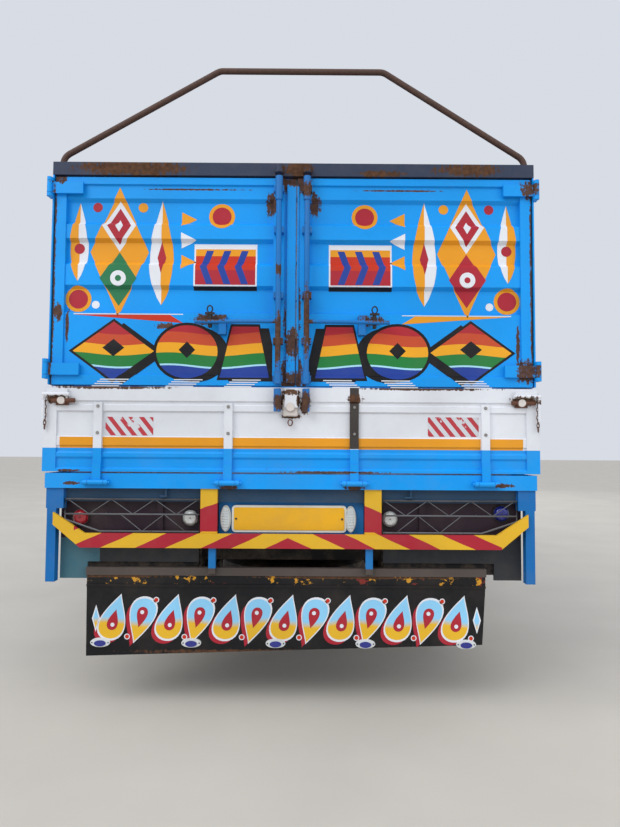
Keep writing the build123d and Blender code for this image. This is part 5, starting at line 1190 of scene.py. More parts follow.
def add_tyre(pieces, rubber, centre, axis=(1, 0, 0)):
    """A ribbed tyre with cut shoulders, turned about its axis."""
    axis = Vector(axis)
    first = axis.orthogonal().normalized()
    second = axis.cross(first)
    half = [(x, r, 0.0) for x, r in WALL_SECTION] + list(TREAD_SECTION)
    section = half + [(-x, r, cut) for x, r, cut in reversed(half)]
    pitches = bpy.context.scene.lorry_sizes.tread_pitches
    rows = []
    for pitch in range(pitches):
        for share, raised in PITCH_STEPS:
            angle = math.tau * (pitch + share) / pitches
            spoke = first * math.cos(angle) + second * math.sin(angle)
            shift = ZIGZAG if raised else -ZIGZAG
            row = []
            for x, r, cut in section:
                across = x + shift if abs(x) < 0.0575 and r > 0.39 else x
                reach = r - (0.0 if raised else cut)
                row.append(pieces.bm.verts.new(Vector(centre) + axis * across + spoke * reach))
            rows.append(row)
    count = len(section)
    wall, tread = [], []
    for i, row in enumerate(rows):
        after = rows[(i + 1) % len(rows)]
        for k in range(count):
            n = (k + 1) % count
            face = pieces.bm.faces.new((row[k], row[n], after[n], after[k]))
            on_wall = k < len(WALL_SECTION) - 1 or count - len(WALL_SECTION) <= k < count - 1
            (wall if on_wall else tread).append(face)
    pieces.paint(wall, rubber, True)
    pieces.paint(tread, rubber, False)


def add_nuts(pieces, steel, centre, out, face, circle, count, size, start=0.0):
    """Hexagon nuts with their studs on a circle. out is 1 on the right and -1 on the left."""
    for k in range(count):
        a = start + math.tau * k / count
        y = centre[1] + circle * math.cos(a)
        z = centre[2] + circle * math.sin(a)
        x = centre[0] + out * face
        pieces.disc(steel, (x, y, z), (x + out * size * 0.9, y, z), size, size * 0.92, 6, False)
        pieces.disc(steel, (x + out * size * 0.9, y, z), (x + out * size * 1.5, y, z), size * 0.5, sides=10)


def build_wheels():
    """Tyres with tread, nuts, hub caps and valves."""
    rubber = tread_rubber()
    steel = dull_zinc()
    cap = enamel("crimson hub enamel", RED, rust=0.35, dust=0.45)
    grease = enamel("amber hub cap enamel", YELLOW, rust=0.3, dust=0.4)
    for side, out in (("left", -1), ("right", 1)):
        low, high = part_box("tyre_front_" + side)
        centre = (low + high) / 2
        tyre = Pieces()
        add_tyre(tyre, rubber, centre)
        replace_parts(tyre.build("tread_front_" + side, "wheel_front_" + side), "tyre_front_" + side)
        fit = Pieces()
        add_nuts(fit, steel, centre, out, 0.0395, 0.106, 6, bpy.context.scene.lorry_sizes.nut_size)
        x = centre.x + out * 0.0615
        fit.disc(cap, (x, centre.y, centre.z), (x + out * 0.003, centre.y, centre.z), 0.080, sides=40)
        fit.disc(grease, (x, centre.y, centre.z), (x + out * 0.016, centre.y, centre.z), 0.044, 0.038, 32)
        add_nuts(fit, steel, centre, out, 0.0640, 0.064, 5, 0.0070, 0.3)
        fit.tube(rubber, [(centre.x + out * 0.041, centre.y, centre.z + 0.176),
                          (centre.x + out * 0.064, centre.y, centre.z + 0.168)], 0.0045, 8)
        fit.build("hub_front_" + side, "wheel_front_" + side)

        low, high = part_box("tyres_rear_" + side)
        centre = (low + high) / 2
        pair = Pieces()
        for x in (low.x + TYRE_HALF, high.x - TYRE_HALF):
            add_tyre(pair, rubber, (x, centre.y, centre.z))
        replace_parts(pair.build("tread_rear_" + side, "wheels_rear_" + side), "tyres_rear_" + side)
        fit = Pieces()
        add_nuts(fit, steel, centre, out, 0.116, 0.108, 6, 0.0155)
        x = centre.x + out * 0.142
        fit.disc(cap, (x, centre.y, centre.z), (x + out * 0.004, centre.y, centre.z), 0.086, sides=40)
        fit.disc(grease, (x, centre.y, centre.z), (x + out * 0.014, centre.y, centre.z), 0.040, 0.034, 32)
        add_nuts(fit, steel, centre, out, 0.146, 0.066, 8, 0.0075)
        fit.build("hub_rear_" + side, "wheels_rear_" + side)


def build_door_seals():
    """Rubber lips that meet between the two rear doors."""
    rubber = black_plastic()
    soot = rusty_steel("sooty wrought iron", "#2E2724", "#151211", "#3A3634", 0.7)
    middle = (door_high.x + right_low.x) / 2
    strip_paint = enamel("sky blue cover strip enamel", SKY_BLUE, rust=0.5, dust=0.05, grime_at=(
        (0.0, 1.62, 0.05, 0.10), (0.0, 1.46, 0.05, 0.05), (0.0, 2.36, 0.05, 0.02)))
    for name, edge, near in (("left", door_high.x, -0.0005), ("right", right_low.x, 0.0005)):
        pieces = Pieces()
        pieces.box(rubber, edge, middle + near, TAIL + 0.012, TAIL + 0.034, door_low.z + 0.004,
                   door_high.z - 0.004)
        side = -1 if near < 0 else 1
        s0, s1 = (-0.028, edge + 0.002) if side < 0 else (edge - 0.002, 0.028)
        pieces.box(strip_paint, s0, s1, TAIL + 0.001, TAIL + 0.015, door_low.z + 0.012, door_high.z - 0.030,
                   0.002)
        hasp = side * 0.372
        pieces.tube(soot, [(hasp + 0.012 * math.cos(a), TAIL - 0.024, 1.772 + 0.016 * math.sin(a))
                           for a in [math.tau * k / 14 for k in range(14)]], 0.0035, 6, True)
        pieces.box(soot, hasp - 0.022, hasp + 0.022, TAIL - 0.026, TAIL - 0.020, 1.748, 1.758, 0.001)
        pieces.box(soot, hasp - 0.008, hasp + 0.008, TAIL - 0.024, TAIL - 0.002, 1.690, 1.756, 0.002)
        pieces.build("door_seal_" + name, "rear_door_" + name)


# Cab front, in metres: the lower wall is upright and the screen leans back above it
CAB_FACE = cab_box_high.y
SCREEN_FOOT = 1.440
SCREEN_LEAN = 0.250 / 0.730
CAB_HALF = 1.000


def front_y(z):
    """Where the cab's outer front surface stands at a height."""
    return CAB_FACE - max(z - SCREEN_FOOT, 0.0) * SCREEN_LEAN


def on_cab_front(x, z, lift):
    """A place function for the cab's front wall and roof brow."""
    return (x, front_y(z) + lift, z)


def build_cab_front():
    """Window rubber, wipers, corner lamps, step strip, blank plate and tow cover."""
    rubber = tread_rubber()
    plastic = black_plastic()
    steel = dull_zinc()
    pieces = Pieces()
    frame_line = rounded(-0.892, 0.892, 1.478, 2.132, 0.030)
    pieces.tube(rubber, [on_cab_front(x, z, -0.006) for x, z in frame_line], 0.013, 8, True)
    for x0, z0, x1, z1 in ((0.08, 1.455, 0.30, 1.600), (-0.60, 1.455, -0.38, 1.600)):
        pieces.disc(plastic, on_cab_front(x0, z0, -0.004), on_cab_front(x0, z0, 0.016), 0.020, 0.016, 20)
        pieces.tube(plastic, [on_cab_front(x0, z0, 0.012), on_cab_front((x0 + x1) / 2, (z0 + z1) / 2, 0.010),
                              on_cab_front(x1, z1, 0.002)], 0.0055, 8)
        blade = [(x1 - 0.19, z1 - 0.105), (x1, z1), (x1 + 0.19, z1 + 0.105)]
        pieces.tube(rubber, [on_cab_front(x, z, -0.007) for x, z in blade], 0.006, 6)
        pieces.tube(plastic, [on_cab_front(x, z, 0.002) for x, z in blade], 0.004, 6)
    amber = lens("amber lamp lens", AMBER_LENS)
    for side in (-1, 1):
        x0, x1 = sorted((side * 0.760, side * 0.930))
        outline = rounded(x0, x1, 1.055, 1.165, 0.018)
        rim = rounded(x0 - 0.008, x1 + 0.008, 1.047, 1.173, 0.024)
        pieces.plate(plastic, rim[::-1], CAB_FACE + 0.008, CAB_FACE - 0.002)
        pieces.plate(amber, outline[::-1], CAB_FACE + 0.014, CAB_FACE + 0.006)
    for x in (-0.62, 0.62):
        pieces.disc(plastic, (x, CAB_FACE - 0.002, 1.335), (x, CAB_FACE + 0.006, 1.335), 0.012, sides=16)
    rim = enamel("pale front plate frame enamel", "#D9DAD2", rust=0.15, dust=0.3)
    sheet = enamel("amber front plate sheet", "#E8AE22", rust=0.05, dust=0.25, gloss=0.3)
    for grow, material, lift in ((0.0, rim, 0.008), (-0.009, sheet, 0.010)):
        outline = rounded(-0.262 - grow, 0.262 + grow, 0.848 - grow, 0.958 + grow, 0.016 + grow)
        pieces.plate(material, outline[::-1], CAB_FACE + lift, CAB_FACE - 0.002)
    for x in (-0.235, 0.235):
        pieces.disc(steel, (x, CAB_FACE + 0.009, 0.903), (x, CAB_FACE + 0.013, 0.903), 0.005, sides=12)
    pieces.build("cab_front_fittings", "cab")

    strip_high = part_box("front_bumper")[1]
    step = Pieces()
    tread = dusty_rubber("ribbed step rubber", "#232324")
    y0, y1 = strip_high.y - 0.040, strip_high.y - 0.004
    step.box(tread, -0.930, 0.930, y0, y1, strip_high.z - 0.001, strip_high.z + 0.010, 0.003)
    for k in range(7):
        y = y0 + 0.005 + 0.0042 * k
        step.box(tread, -0.915, 0.915, y, y + 0.002, strip_high.z + 0.009, strip_high.z + 0.012)
    step.build("front_bumper_trim", "chassis")


def build_head_lamps():
    """Lamp units in the front bumper: a reflector behind a fluted lens, and an amber corner lamp."""
    plastic = black_plastic()
    low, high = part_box("head_lamps")
    bright = new_polish("vacuum-silvered reflector", "#D4D8DC", 0.12)
    flutes = clear_glass("fluted head lamp glass", "#E8EEF2", 0.35)
    amber = lens("amber corner lamp lens", AMBER_LENS)
    pieces = Pieces()
    back, face = low.y, high.y
    for side in (-1, 1):
        x0, x1 = sorted((side * 0.602, side * 0.848))
        pieces.plate(plastic, strip(x0, low.z, x1, high.z)[::-1], face - 0.034, back)
        pieces.plate(bright, rounded(x0 + 0.006, x1 - 0.006, low.z + 0.006, high.z - 0.006, 0.02)[::-1],
                     face - 0.030, face - 0.036)
        mid = (x0 + x1) / 2
        pieces.disc(bright, (mid, face - 0.030, 0.590), (mid, face - 0.020, 0.590), 0.060, 0.052, 36)
        pieces.disc(bright, (mid, face - 0.021, 0.590), (mid, face - 0.012, 0.590), 0.016, 0.012, 20)
        pieces.plate(flutes, rounded(x0, x1, low.z, high.z, 0.024)[::-1], face, face - 0.006)
        for k in range(11):
            x = x0 + 0.022 + 0.0202 * k
            pieces.tube(flutes, [(x, face - 0.0005, low.z + 0.016), (x, face - 0.0005, high.z - 0.016)],
                        0.0022, 6)
        a0, a1 = sorted((side * 0.866, side * 0.958))
        pieces.plate(plastic, strip(a0, low.z, a1, high.z)[::-1], face - 0.022, back)
        pieces.plate(amber, rounded(a0, a1, low.z, high.z, 0.018)[::-1], face - 0.002, face - 0.024)
    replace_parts(pieces.build("head_lamp_units", "chassis"), "head_lamps")


def new_polish(name, code, rough):
    """A bright metal coat, mirror-like with a faint haze."""
    material, tree, shader, where = new_material(name)
    haze = add(tree, "TexNoise", {"Scale": 12.0, "Detail": 4.0, "Vector": where})
    spread = add(tree, "MapRange", (haze, 0.0, 1.0, rough * 0.6, rough * 1.6))
    fill(shader, {"Roughness": spread, "Base Color": linear(code), "Metallic": 1.0})
    return material


def build_mirrors():
    """Mirror glass on both heads and the rims round it."""
    plastic = black_plastic()
    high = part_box("mirrors")[1]
    glass = new_polish("silvered mirror glass", "#C9D2D6", 0.04)
    pieces = Pieces()
    for side in (-1, 1):
        x0, x1 = sorted((side * (high.x - 0.175), side * high.x))
        y = high.y - 0.090
        pieces.plate(plastic, rounded(x0 + 0.004, x1 - 0.004, 1.534, 1.896, 0.034), y - 0.003, y + 0.010)
        pieces.plate(glass, rounded(x0 + 0.014, x1 - 0.014, 1.545, 1.885, 0.026), y - 0.005, y)
    pieces.build("mirror_glass", "cab")


def build_cab_doors():
    """Window rubber, pull handle, lock barrel, side lamp and painted panel of each cab door."""
    rubber = tread_rubber()
    plastic = black_plastic()
    steel = dull_zinc()
    colours = enamel_set("door panel", ("yellow", "white", "red", "green"), rust=0.1, dust=0.1, edge=0)
    window = ((2.1165, 1.535), (3.030, 1.535), (2.840, 2.120), (2.1165, 2.120))
    for side, name in ((-1, "cab_door_left"), (1, "cab_door_right")):
        pieces = Pieces()
        line = []
        for (y0, z0), (y1, z1) in zip(window, window[1:] + window[:1]):
            for share in (0.03, 0.35, 0.65, 0.97):
                line.append((side * (CAB_HALF - 0.001), y0 + (y1 - y0) * share, z0 + (z1 - z0) * share))
        pieces.tube(rubber, line, 0.010, 8, True)
        pieces.box(plastic, side * (CAB_HALF - 0.014), side * (CAB_HALF + 0.002), 2.120, 2.264, 1.380,
                   1.410, 0.004)
        pieces.disc(steel, (side * (CAB_HALF - 0.002), 2.305, 1.395),
                    (side * (CAB_HALF + 0.003), 2.305, 1.395), 0.012, sides=20)
        pieces.build("door_fittings_" + name[9:], name)
        paint = Paintwork(on_side(side, lambda z: CAB_HALF), (side, 0, 0))
        for y, size in ((2.58, 1.0), (2.28, 0.55), (2.88, 0.55)):
            paint.add(colours["yellow"], lozenge(y, 1.115, 0.15 * size, 0.125 * size))
            paint.add(colours["white"], lozenge(y, 1.115, 0.115 * size, 0.095 * size), 1)
            paint.add(colours["red" if size == 1.0 else "green"],
                      lozenge(y, 1.115, 0.085 * size, 0.068 * size), 2)
            paint.add(colours["white"], oval(y, 1.115, 0.024 * size), 3)
        paint.build("door_panel_art_" + name[9:], name)
    repeaters = Pieces()
    amber = lens("amber repeater lens", AMBER_LENS)
    for side in (-1, 1):
        x = side * CAB_HALF
        repeaters.disc(plastic, (x - side * 0.002, 3.205, 1.100), (x + side * 0.005, 3.205, 1.100), 0.026,
                       sides=28)
        repeaters.disc(amber, (x + side * 0.004, 3.205, 1.100), (x + side * 0.012, 3.205, 1.100), 0.021,
                       0.014, 28)
    repeaters.build("side_repeaters", "cab")


# Seat pads: rounding, crown, pull of the cover between its corners, and the sewn channels
PAD_ROUND = 0.032
PAD_CROWN = 0.016
PAD_PULL = 0.009
CHANNEL_HALF = 0.007
CHANNEL_DEPTH = 0.011
PIPING = 0.0042
# How far the two boxes and the seats on them reach across, in metres
SEAT_BASES = ((-0.860, -0.400), (0.400, 0.860))
SEATS = (("driver", -0.880, -0.380), ("passenger", -0.330, 0.880))


def woven_seat_cloth(name, colour="#2F323A", light="#555A68", rib_mm=7.0):
    """Polyester twill woven for seats: matt, with a soft pale sheen along its ribs."""
    material, tree, shader, where = new_material(name)
    # A wave's period in metres is 0.314 over its scale. The real rib is about 2 mm.
    ribs = add(tree, "TexWave", {"Scale": 314.0 / rib_mm, "Vector": where}, "Fac", bands_direction="DIAGONAL")
    wear = add(tree, "TexNoise", {"Scale": 6.0, "Detail": 6.0, "Roughness": 0.6, "Vector": where})
    worn = add(tree, "MapRange", (wear, 0.35, 0.75))
    tone = add(tree, "Mix.RGBA", (worn, linear(colour), linear(light)))
    bump = add(tree, "Bump", {"Strength": 0.35, "Distance": 0.0012, "Height": ribs})
    fill(shader, {"Base Color": tone, "Roughness": 0.9, "Sheen Weight": 0.35, "Normal": bump})
    return material


def pad_lines(length, marks=()):
    """Grid lines over one side of a pad, close together at its rounded ends and its channels."""
    inner = length - 2 * PAD_ROUND
    count = max(1, round(inner / 0.045))
    lines = [PAD_ROUND + inner * i / count for i in range(count + 1)]
    for share in (0.0, 0.15, 0.4, 0.7):
        lines += [PAD_ROUND * share, length - PAD_ROUND * share]
    for mark in marks:
        lines += [mark + CHANNEL_HALF * share for share in (-2.0, -1.2, -0.6, 0.0, 0.6, 1.2, 2.0)]
    kept = [0.0]
    for line in sorted(lines):
        if line - kept[-1] > 0.002:
            kept.append(line)
    kept[-1] = length
    return kept


def add_pad(pieces, cloth, piping, size, place, channels, seams):
    """A stuffed pad: flat where it rests, crowned above, drawn in between its corners and piped round its
    top."""
    width, depth, height = size
    top = height - PAD_CROWN

    def shape(a, b, c):
        core = Vector([min(max(at, PAD_ROUND), far - PAD_ROUND)
                       for at, far in ((a, width), (b, depth), (c, top))])
        point = core + (Vector((a, b, c)) - core).normalized() * PAD_ROUND
        u, v = 2 * point.x / width - 1, 2 * point.y / depth - 1
        share = point.z / top
        sewn = max([math.exp(-((a - at) / CHANNEL_HALF) ** 2) * (1 - v ** 8) for at in channels]
                   + [math.exp(-((b - at) / CHANNEL_HALF) ** 2) * (1 - u ** 8) for at in seams])
        point.z += share * (PAD_CROWN * (1 - u * u) * (1 - v * v)) - share ** 4 * CHANNEL_DEPTH * sewn
        point.x -= PAD_PULL * u ** 3 * (1 - v * v)
        point.y -= PAD_PULL * v ** 3 * (1 - u * u)
        return place(point)

    grid = (pad_lines(width, channels), pad_lines(depth, seams), pad_lines(top))
    ends = [len(lines) - 1 for lines in grid]
    made = {}
    faces = []
    for fixed, first, second in ((0, 1, 2), (1, 2, 0), (2, 0, 1)):
        for end in (0, ends[fixed]):
            for i in range(ends[first]):
                for k in range(ends[second]):
                    ring = []
                    for step_i, step_k in ((0, 0), (1, 0), (1, 1), (0, 1)):
                        key = [end, end, end]
                        key[first] = i + step_i
                        key[second] = k + step_k
                        key = tuple(key)
                        if key not in made:
                            made[key] = pieces.bm.verts.new(shape(*(grid[n][key[n]] for n in range(3))))
                        ring.append(made[key])
                    faces.append(pieces.bm.faces.new(ring))
    pieces.paint(faces, cloth, True)
    rim = [(a, 0.0) for a in grid[0][:-1]] + [(width, b) for b in grid[1][:-1]]
    rim += [(a, depth) for a in grid[0][:0:-1]] + [(0.0, b) for b in grid[1][:0:-1]]
    pieces.tube(piping, [shape(a, b, top) for a, b in rim], PIPING, 6, True)


def build_seats():
    """Driver's seat and passenger bench: four sewn pads on two steel boxes."""
    cloth = woven_seat_cloth("woven polyester seat twill")
    piping = once("grained vinyl piping", moulded_plastic, "#17181B", 0.45, 1.5)
    bases = Pieces()
    for x0, x1 in SEAT_BASES:
        bases.box(enamel("grey enamel on seat boxes", "#4B4E52", rust=0.3, dust=0.3), x0, x1, 1.915, 2.525,
                  0.906, 1.182, 0.006)
    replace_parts(bases.build("seat_boxes", "cab"), "cab_seats")
    for name, x0, x1 in SEATS:
        width = x1 - x0
        count = 4 if width < 0.8 else 9
        channels = [width * (0.14 + 0.72 * i / count) for i in range(count + 1)]
        pad = Pieces()
        add_pad(pad, cloth, piping, (width, 0.710, 0.142),
                lambda p: Vector((x0 + p.x, 1.875 + p.y, 1.178 + p.z)), channels, [0.600])
        cushion = pad.build(name + "_cushion", "cab")
        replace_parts(cushion, "cab_seats")
        back = Pieces()

        def lean(p):
            share = p.y / 0.700
            return Vector((x0 + 0.010 + p.x, 1.885 - 0.060 * share + p.z * (1 - 0.2 * share), 1.260 + p.y))

        add_pad(back, cloth, piping, (width - 0.020, 0.700, 0.130), lean, [at - 0.010 for at in channels],
                [0.590])
        rest = back.build(name + "_backrest", "cab")
        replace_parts(rest, "cab_seats")


# Ribbed upper walls: the sheet, its ribs and their pitch
WALL_FOOT = 1.429
WALL_SHEET = 1.085
RIB_HEIGHT = 0.012
RIB_PITCH = 0.1613
RIB_SHARES = (0.22, 0.32, 0.68, 0.78)


def wall_face(z):
    """How far out the ribbed wall stands at a height."""
    share = ((z - WALL_FOOT) / RIB_PITCH) % 1.0
    a, b, c, d = RIB_SHARES
    if share <= a or share >= d:
        return WALL_SHEET
    if share < b:
        return WALL_SHEET + RIB_HEIGHT * (share - a) / (b - a)
    if share <= c:
        return WALL_SHEET + RIB_HEIGHT
    return WALL_SHEET + RIB_HEIGHT * (d - share) / (d - c)


def wall_group(paint, colours, rainbow, middle, half):
    """One group of figures on a wall panel: stepped lozenge, spindles, ringed dots and a rainbow row."""
    def put(material, points, layer=0):
        paint.add(material, points, layer)

    yellow, white, red, green = (colours[k] for k in ("yellow", "white", "red", "green"))
    black = colours["black"]
    put(yellow, lozenge(middle, 2.045, 0.20, 0.29))
    put(white, lozenge(middle, 2.165, 0.105, 0.118), 1)
    put(red, lozenge(middle, 2.165, 0.075, 0.085), 2)
    put(white, lozenge(middle, 2.165, 0.024, 0.030), 3)
    put(green, lozenge(middle, 1.920, 0.110, 0.122), 1)
    put(white, oval(middle, 1.920, 0.038), 2)
    for sign in (-1, 1):
        x = middle + sign * 0.30
        put(white, spindle(x, 1.82, 2.27, 0.055, side=-sign))
        put(yellow, spindle(x, 1.82, 2.27, 0.055, side=sign), 1)
        put(red, lozenge(x, 2.03, 0.020, 0.075), 2)
        x = middle + sign * 0.47
        for z, size in ((2.19, 1.0), (1.88, 0.8)):
            put(yellow, oval(x, z, 0.066 * size))
            put(red, oval(x, z, 0.046 * size), 1)
        for k, colour in enumerate((yellow, white, yellow)):
            z = 2.13 - 0.09 * k
            x = middle + sign * 0.60
            tip = [(x, z - 0.032), (x, z + 0.032), (x + sign * 0.075, z)]
            put(colour, tip if sign < 0 else tip[::-1])
    for sign in (-1, 1):
        x = middle + sign * 0.86
        put(yellow, lozenge(x, 2.045, 0.13, 0.20))
        put(white, lozenge(x, 2.045, 0.095, 0.150), 1)
        put(red if sign < 0 else green, lozenge(x, 2.045, 0.070, 0.112), 2)
        put(white, oval(x, 2.045, 0.026), 3)
    row = int(half / 0.20)
    for k in range(-row, row + 1):
        x = middle + 0.30 * k
        if abs(x - middle) > half - 0.18:
            continue
        figure = lozenge(x, 1.600, 0.140, 0.112) if k % 2 else oval(x, 1.600, 0.122, 0.106)
        put(black, moved(figure, 0.0, 0.0, 1.12), 0)
        put(black, moved(figure, -0.035, -0.012, 1.05), 1)
        put(rainbow, figure, 2)
        put(black, lozenge(x, 1.605, 0.036, 0.034), 3)


def build_wall_ornament():
    """Painted groups on the ribbed side walls, with a white and amber line above and below."""
    colours = signwriter_colours()
    levels = sorted(WALL_FOOT + RIB_PITCH * (k + share) for k in range(6) for share in RIB_SHARES)
    for side, name in ((-1, "left"), (1, "right")):
        paint = Paintwork(on_side(side, wall_face), (side, 0, 0), levels)
        for y0, y1 in ((-3.150, -0.960), (-0.785, 1.470)):
            middle, half = (y0 + y1) / 2, (y1 - y0) / 2
            paint.add(colours["white"], strip(y0, 1.440, y1, 1.449))
            paint.add(colours["yellow"], strip(y0, 1.752, y1, 1.766))
            paint.add(colours["white"], strip(y0, 1.768, y1, 1.774))
            paint.add(colours["yellow"], strip(y0, 2.352, y1, 2.362))
            wall_group(paint, colours, rainbow(), middle, half)
        paint.build("wall_ornament_" + name, "chassis")


# The side gates' outer face, |x| in metres
GATE_FACE = 1.105


def build_gate_fittings():
    """Hinge straps' bolts, drop handles and latches on the four side gates."""
    steel = dull_zinc()
    rust = rusty_steel("rusted gate latch steel", "#7E4E36", "#3D241A", "#5C4C44", 0.85)
    for side, name in ((-1, "left"), (1, "right")):
        for place in ("rear", "front"):
            node = "side_gate_%s_%s" % (name, place)
            low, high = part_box(node)
            face = GATE_FACE
            pieces = Pieces()
            for y in (low.y + 0.260, (low.y + high.y) / 2, high.y - 0.260):
                for z in BOLT_ROWS:
                    x = side * (face + 0.008)
                    pieces.disc(steel, (x - side * 0.002, y, z), (x + side * 0.006, y, z), 0.009, 0.0065, 6,
                                False)
            for y in (low.y + 0.075, high.y - 0.075):
                pieces.box(rust, side * (face - 0.002), side * (face + 0.006), y - 0.030, y + 0.030,
                           1.345, 1.395, 0.002)
                pieces.disc(rust, (side * (face + 0.005), y - 0.050, 1.370),
                            (side * (face + 0.005), y + 0.050, 1.370), 0.007, sides=12)
                grip = [(side * (face + 0.006), y - 0.012, 1.366), (side * (face + 0.011), y - 0.012, 1.320),
                        (side * (face + 0.011), y + 0.012, 1.320), (side * (face + 0.006), y + 0.012, 1.366)]
                pieces.tube(rust, grip, 0.0032, 6)
            pieces.build("gate_fittings_%s_%s" % (name, place), node)


def build_chassis_fittings():
    """Tank straps and marker lamps along the sill."""
    steel = dull_zinc()
    plastic = black_plastic()
    low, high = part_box("fuel_tank")
    pieces = Pieces()
    for y in (low.y + 0.16, high.y - 0.16):
        pieces.box(steel, low.x + 0.055, high.x - 0.070, y - 0.020, y + 0.020, 0.748, 0.754, 0.001)
        pieces.box(steel, 0.8835, 0.8885, y - 0.020, y + 0.020, 0.447, 0.703, 0.001)
        pieces.box(steel, low.x + 0.055, high.x - 0.070, y - 0.020, y + 0.020, 0.396, 0.402, 0.001)
    pieces.build("tank_straps", "chassis")
    lamps = Pieces()
    amber = lens("amber side marker lens", AMBER_LENS)
    for side in (-1, 1):
        for y in (-2.60, -0.87, 0.90):
            x = side * 1.060
            lamps.box(plastic, x, x + side * 0.012, y - 0.048, y + 0.048, 0.905, 0.940, 0.003)
            lamps.box(amber, x + side * 0.011, x + side * 0.018, y - 0.042, y + 0.042, 0.910, 0.935, 0.003)
    lamps.build("side_marker_lamps", "chassis")


class LorryPaints(bpy.types.PropertyGroup):
    """The lorry's paints."""

    sky_blue: paint_property("sky_blue")
    signal_white: paint_property("signal_white")
    orange: paint_property("orange")
    yellow: paint_property("yellow")
    red: paint_property("red")
    deep_blue: paint_property("deep_blue")
    leaf_green: paint_property("leaf_green")
    black: paint_property("black")
    maroon: paint_property("maroon")
    dust: paint_property("dust")


class LorrySizes(bpy.types.PropertyGroup):
    """Sizes of the fine pieces."""

    tread_pitches: IntProperty(name="Tread pitches", description="Lugs round one tyre", default=56, min=24,
                               max=90)
    guard_wire: FloatProperty(name="Guard wire", description="Radius of the guards' zigzag wire",
                              default=0.0024, min=0.001, max=0.005, unit="LENGTH")
    stripe_pitch: FloatProperty(name="Stripe pitch", description="Width of one pair of bumper stripes",
                                default=0.290, min=0.1, max=0.6, unit="LENGTH")
    nut_size: FloatProperty(name="Wheel nut", description="Radius of the front wheel nuts", default=0.0150,
                            min=0.010, max=0.020, unit="LENGTH")
    key_power: FloatProperty(name="Key light", description="Power of the key light", default=300.0, min=0.0,
                             unit="POWER")


class LORRY_OT_stage(bpy.types.Operator):
    """Floor, camera, lights and sky."""

    bl_idname = "lorry.stage"
    bl_label = "Stage"

    def execute(self, context):
        build_stage()
        return {"FINISHED"}


class LORRY_OT_finishes(bpy.types.Operator):
    """Paint, steel, rubber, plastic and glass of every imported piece."""

    bl_idname = "lorry.finishes"
    bl_label = "Finishes"

    def execute(self, context):
        build_finishes()
        return {"FINISHED"}


class LORRY_OT_door_ornament(bpy.types.Operator):
    """Painted figures on both rear doors."""

    bl_idname = "lorry.door_ornament"
    bl_label = "Rear door figures"

    def execute(self, context):
        build_door_ornament()
        return {"FINISHED"}


class LORRY_OT_door_seals(bpy.types.Operator):
    """Rubber lips and cover strips where the rear doors meet."""

    bl_idname = "lorry.door_seals"
    bl_label = "Rear door seals"

    def execute(self, context):
        build_door_seals()
        return {"FINISHED"}


class LORRY_OT_tailgate_trim(bpy.types.Operator):
    """Tape, bolts, latches and chains on the tailgate."""

    bl_idname = "lorry.tailgate_trim"
    bl_label = "Tailgate fittings"

    def execute(self, context):
        build_tailgate_trim()
        return {"FINISHED"}


class LORRY_OT_flap_ornament(bpy.types.Operator):
    """Painted border on the mud-flap board."""

    bl_idname = "lorry.flap_ornament"
    bl_label = "Flap border"

    def execute(self, context):
        build_flap_ornament()
        return {"FINISHED"}


class LORRY_OT_lamp_guards(bpy.types.Operator):
    """Wire guards in front of the lamp boards."""

    bl_idname = "lorry.lamp_guards"
    bl_label = "Lamp guards"

    def execute(self, context):
        build_lamp_guards()
        return {"FINISHED"}


class LORRY_OT_skirts(bpy.types.Operator):
    """Rubber skirts under the lamp boards."""

    bl_idname = "lorry.skirts"
    bl_label = "Mud skirts"

    def execute(self, context):
        build_skirts()
        return {"FINISHED"}


class LORRY_OT_plate(bpy.types.Operator):
    """Blank plate in its frame with a lamp at each side."""

    bl_idname = "lorry.plate"
    bl_label = "Blank plate"

    def execute(self, context):
        build_plate()
        return {"FINISHED"}


class LORRY_OT_rear_lamps(bpy.types.Operator):
    """Round lamps on the boards and oval lamps on the flap."""

    bl_idname = "lorry.rear_lamps"
    bl_label = "Rear lamps"

    def execute(self, context):
        build_rear_lamps()
        return {"FINISHED"}


class LORRY_OT_wheels(bpy.types.Operator):
    """Treaded tyres, nuts and hub caps."""

    bl_idname = "lorry.wheels"
    bl_label = "Wheels"

    def execute(self, context):
        build_wheels()
        return {"FINISHED"}


class LORRY_OT_cab_front(bpy.types.Operator):
    """Window rubber, wipers, corner lamps and bumper trim."""

    bl_idname = "lorry.cab_front"
    bl_label = "Cab front"

    def execute(self, context):
        build_cab_front()
        return {"FINISHED"}


class LORRY_OT_head_lamps(bpy.types.Operator):
    """Lamp units in the front bumper."""

    bl_idname = "lorry.head_lamps"
    bl_label = "Head lamps"

    def execute(self, context):
        build_head_lamps()
        return {"FINISHED"}


class LORRY_OT_mirrors(bpy.types.Operator):
    """Glass and rims of the mirrors."""

    bl_idname = "lorry.mirrors"
    bl_label = "Mirrors"

    def execute(self, context):
        build_mirrors()
        return {"FINISHED"}


class LORRY_OT_cab_doors(bpy.types.Operator):
    """Window rubber, handles and painted panels of the cab doors."""

    bl_idname = "lorry.cab_doors"
    bl_label = "Cab doors"

    def execute(self, context):
        build_cab_doors()
        return {"FINISHED"}


class LORRY_OT_seats(bpy.types.Operator):
    """Sewn seat pads and their boxes."""

    bl_idname = "lorry.seats"
    bl_label = "Seats"

    def execute(self, context):
        build_seats()
        return {"FINISHED"}


class LORRY_OT_wall_ornament(bpy.types.Operator):
    """Painted figures on the ribbed side walls."""

    bl_idname = "lorry.wall_ornament"
    bl_label = "Side wall figures"

    def execute(self, context):
        build_wall_ornament()
        return {"FINISHED"}


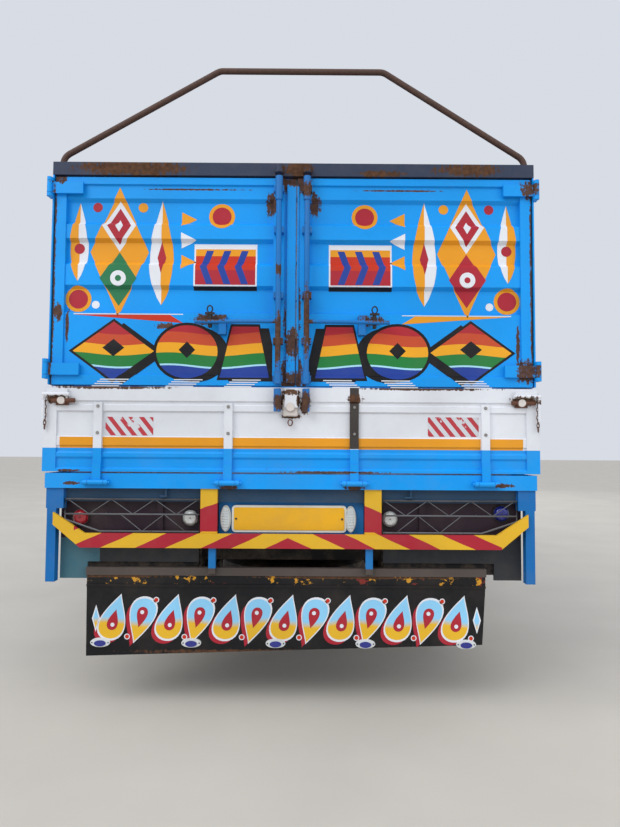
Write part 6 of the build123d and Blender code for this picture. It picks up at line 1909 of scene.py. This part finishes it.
class LORRY_OT_gate_fittings(bpy.types.Operator):
    """Bolts and latches on the side gates."""

    bl_idname = "lorry.gate_fittings"
    bl_label = "Side gate fittings"

    def execute(self, context):
        build_gate_fittings()
        return {"FINISHED"}


class LORRY_OT_chassis_fittings(bpy.types.Operator):
    """Tank straps and side marker lamps."""

    bl_idname = "lorry.chassis_fittings"
    bl_label = "Chassis fittings"

    def execute(self, context):
        build_chassis_fittings()
        return {"FINISHED"}


# The order in which the pieces are made
OPERATORS = (LORRY_OT_stage, LORRY_OT_finishes, LORRY_OT_door_ornament,
             LORRY_OT_door_seals, LORRY_OT_tailgate_trim, LORRY_OT_flap_ornament,
             LORRY_OT_lamp_guards, LORRY_OT_skirts, LORRY_OT_plate,
             LORRY_OT_rear_lamps, LORRY_OT_wheels, LORRY_OT_cab_front,
             LORRY_OT_head_lamps, LORRY_OT_mirrors, LORRY_OT_cab_doors, LORRY_OT_seats,
             LORRY_OT_wall_ornament, LORRY_OT_gate_fittings, LORRY_OT_chassis_fittings)


class LORRY_PT_sidebar(bpy.types.Panel):
    """Lists the paints, the sizes and every operator."""

    bl_label = "Painted lorry"
    bl_space_type = "VIEW_3D"
    bl_region_type = "UI"
    bl_category = "Lorry"

    def draw(self, context):
        for group in (context.scene.lorry_paints, context.scene.lorry_sizes):
            box = self.layout.box()
            for name in group.__annotations__:
                box.prop(group, name)
        column = self.layout.column(align=True)
        for operator in OPERATORS:
            column.operator(operator.bl_idname)


CLASSES = (LorryPaints, LorrySizes, *OPERATORS, LORRY_PT_sidebar)


def register():
    """Register every class and hang both groups of settings on the scene."""
    for made in CLASSES:
        bpy.utils.register_class(made)
    bpy.types.Scene.lorry_paints = PointerProperty(type=LorryPaints)
    bpy.types.Scene.lorry_sizes = PointerProperty(type=LorrySizes)


def unregister():
    """Take all of it away again."""
    del bpy.types.Scene.lorry_sizes
    del bpy.types.Scene.lorry_paints
    for made in reversed(CLASSES):
        bpy.utils.unregister_class(made)


def main():
    """Build the whole lorry with its operators."""
    register()
    for operator in OPERATORS:
        getattr(bpy.ops.lorry, operator.bl_idname[6:])()


if __name__ == "__main__":
    main()
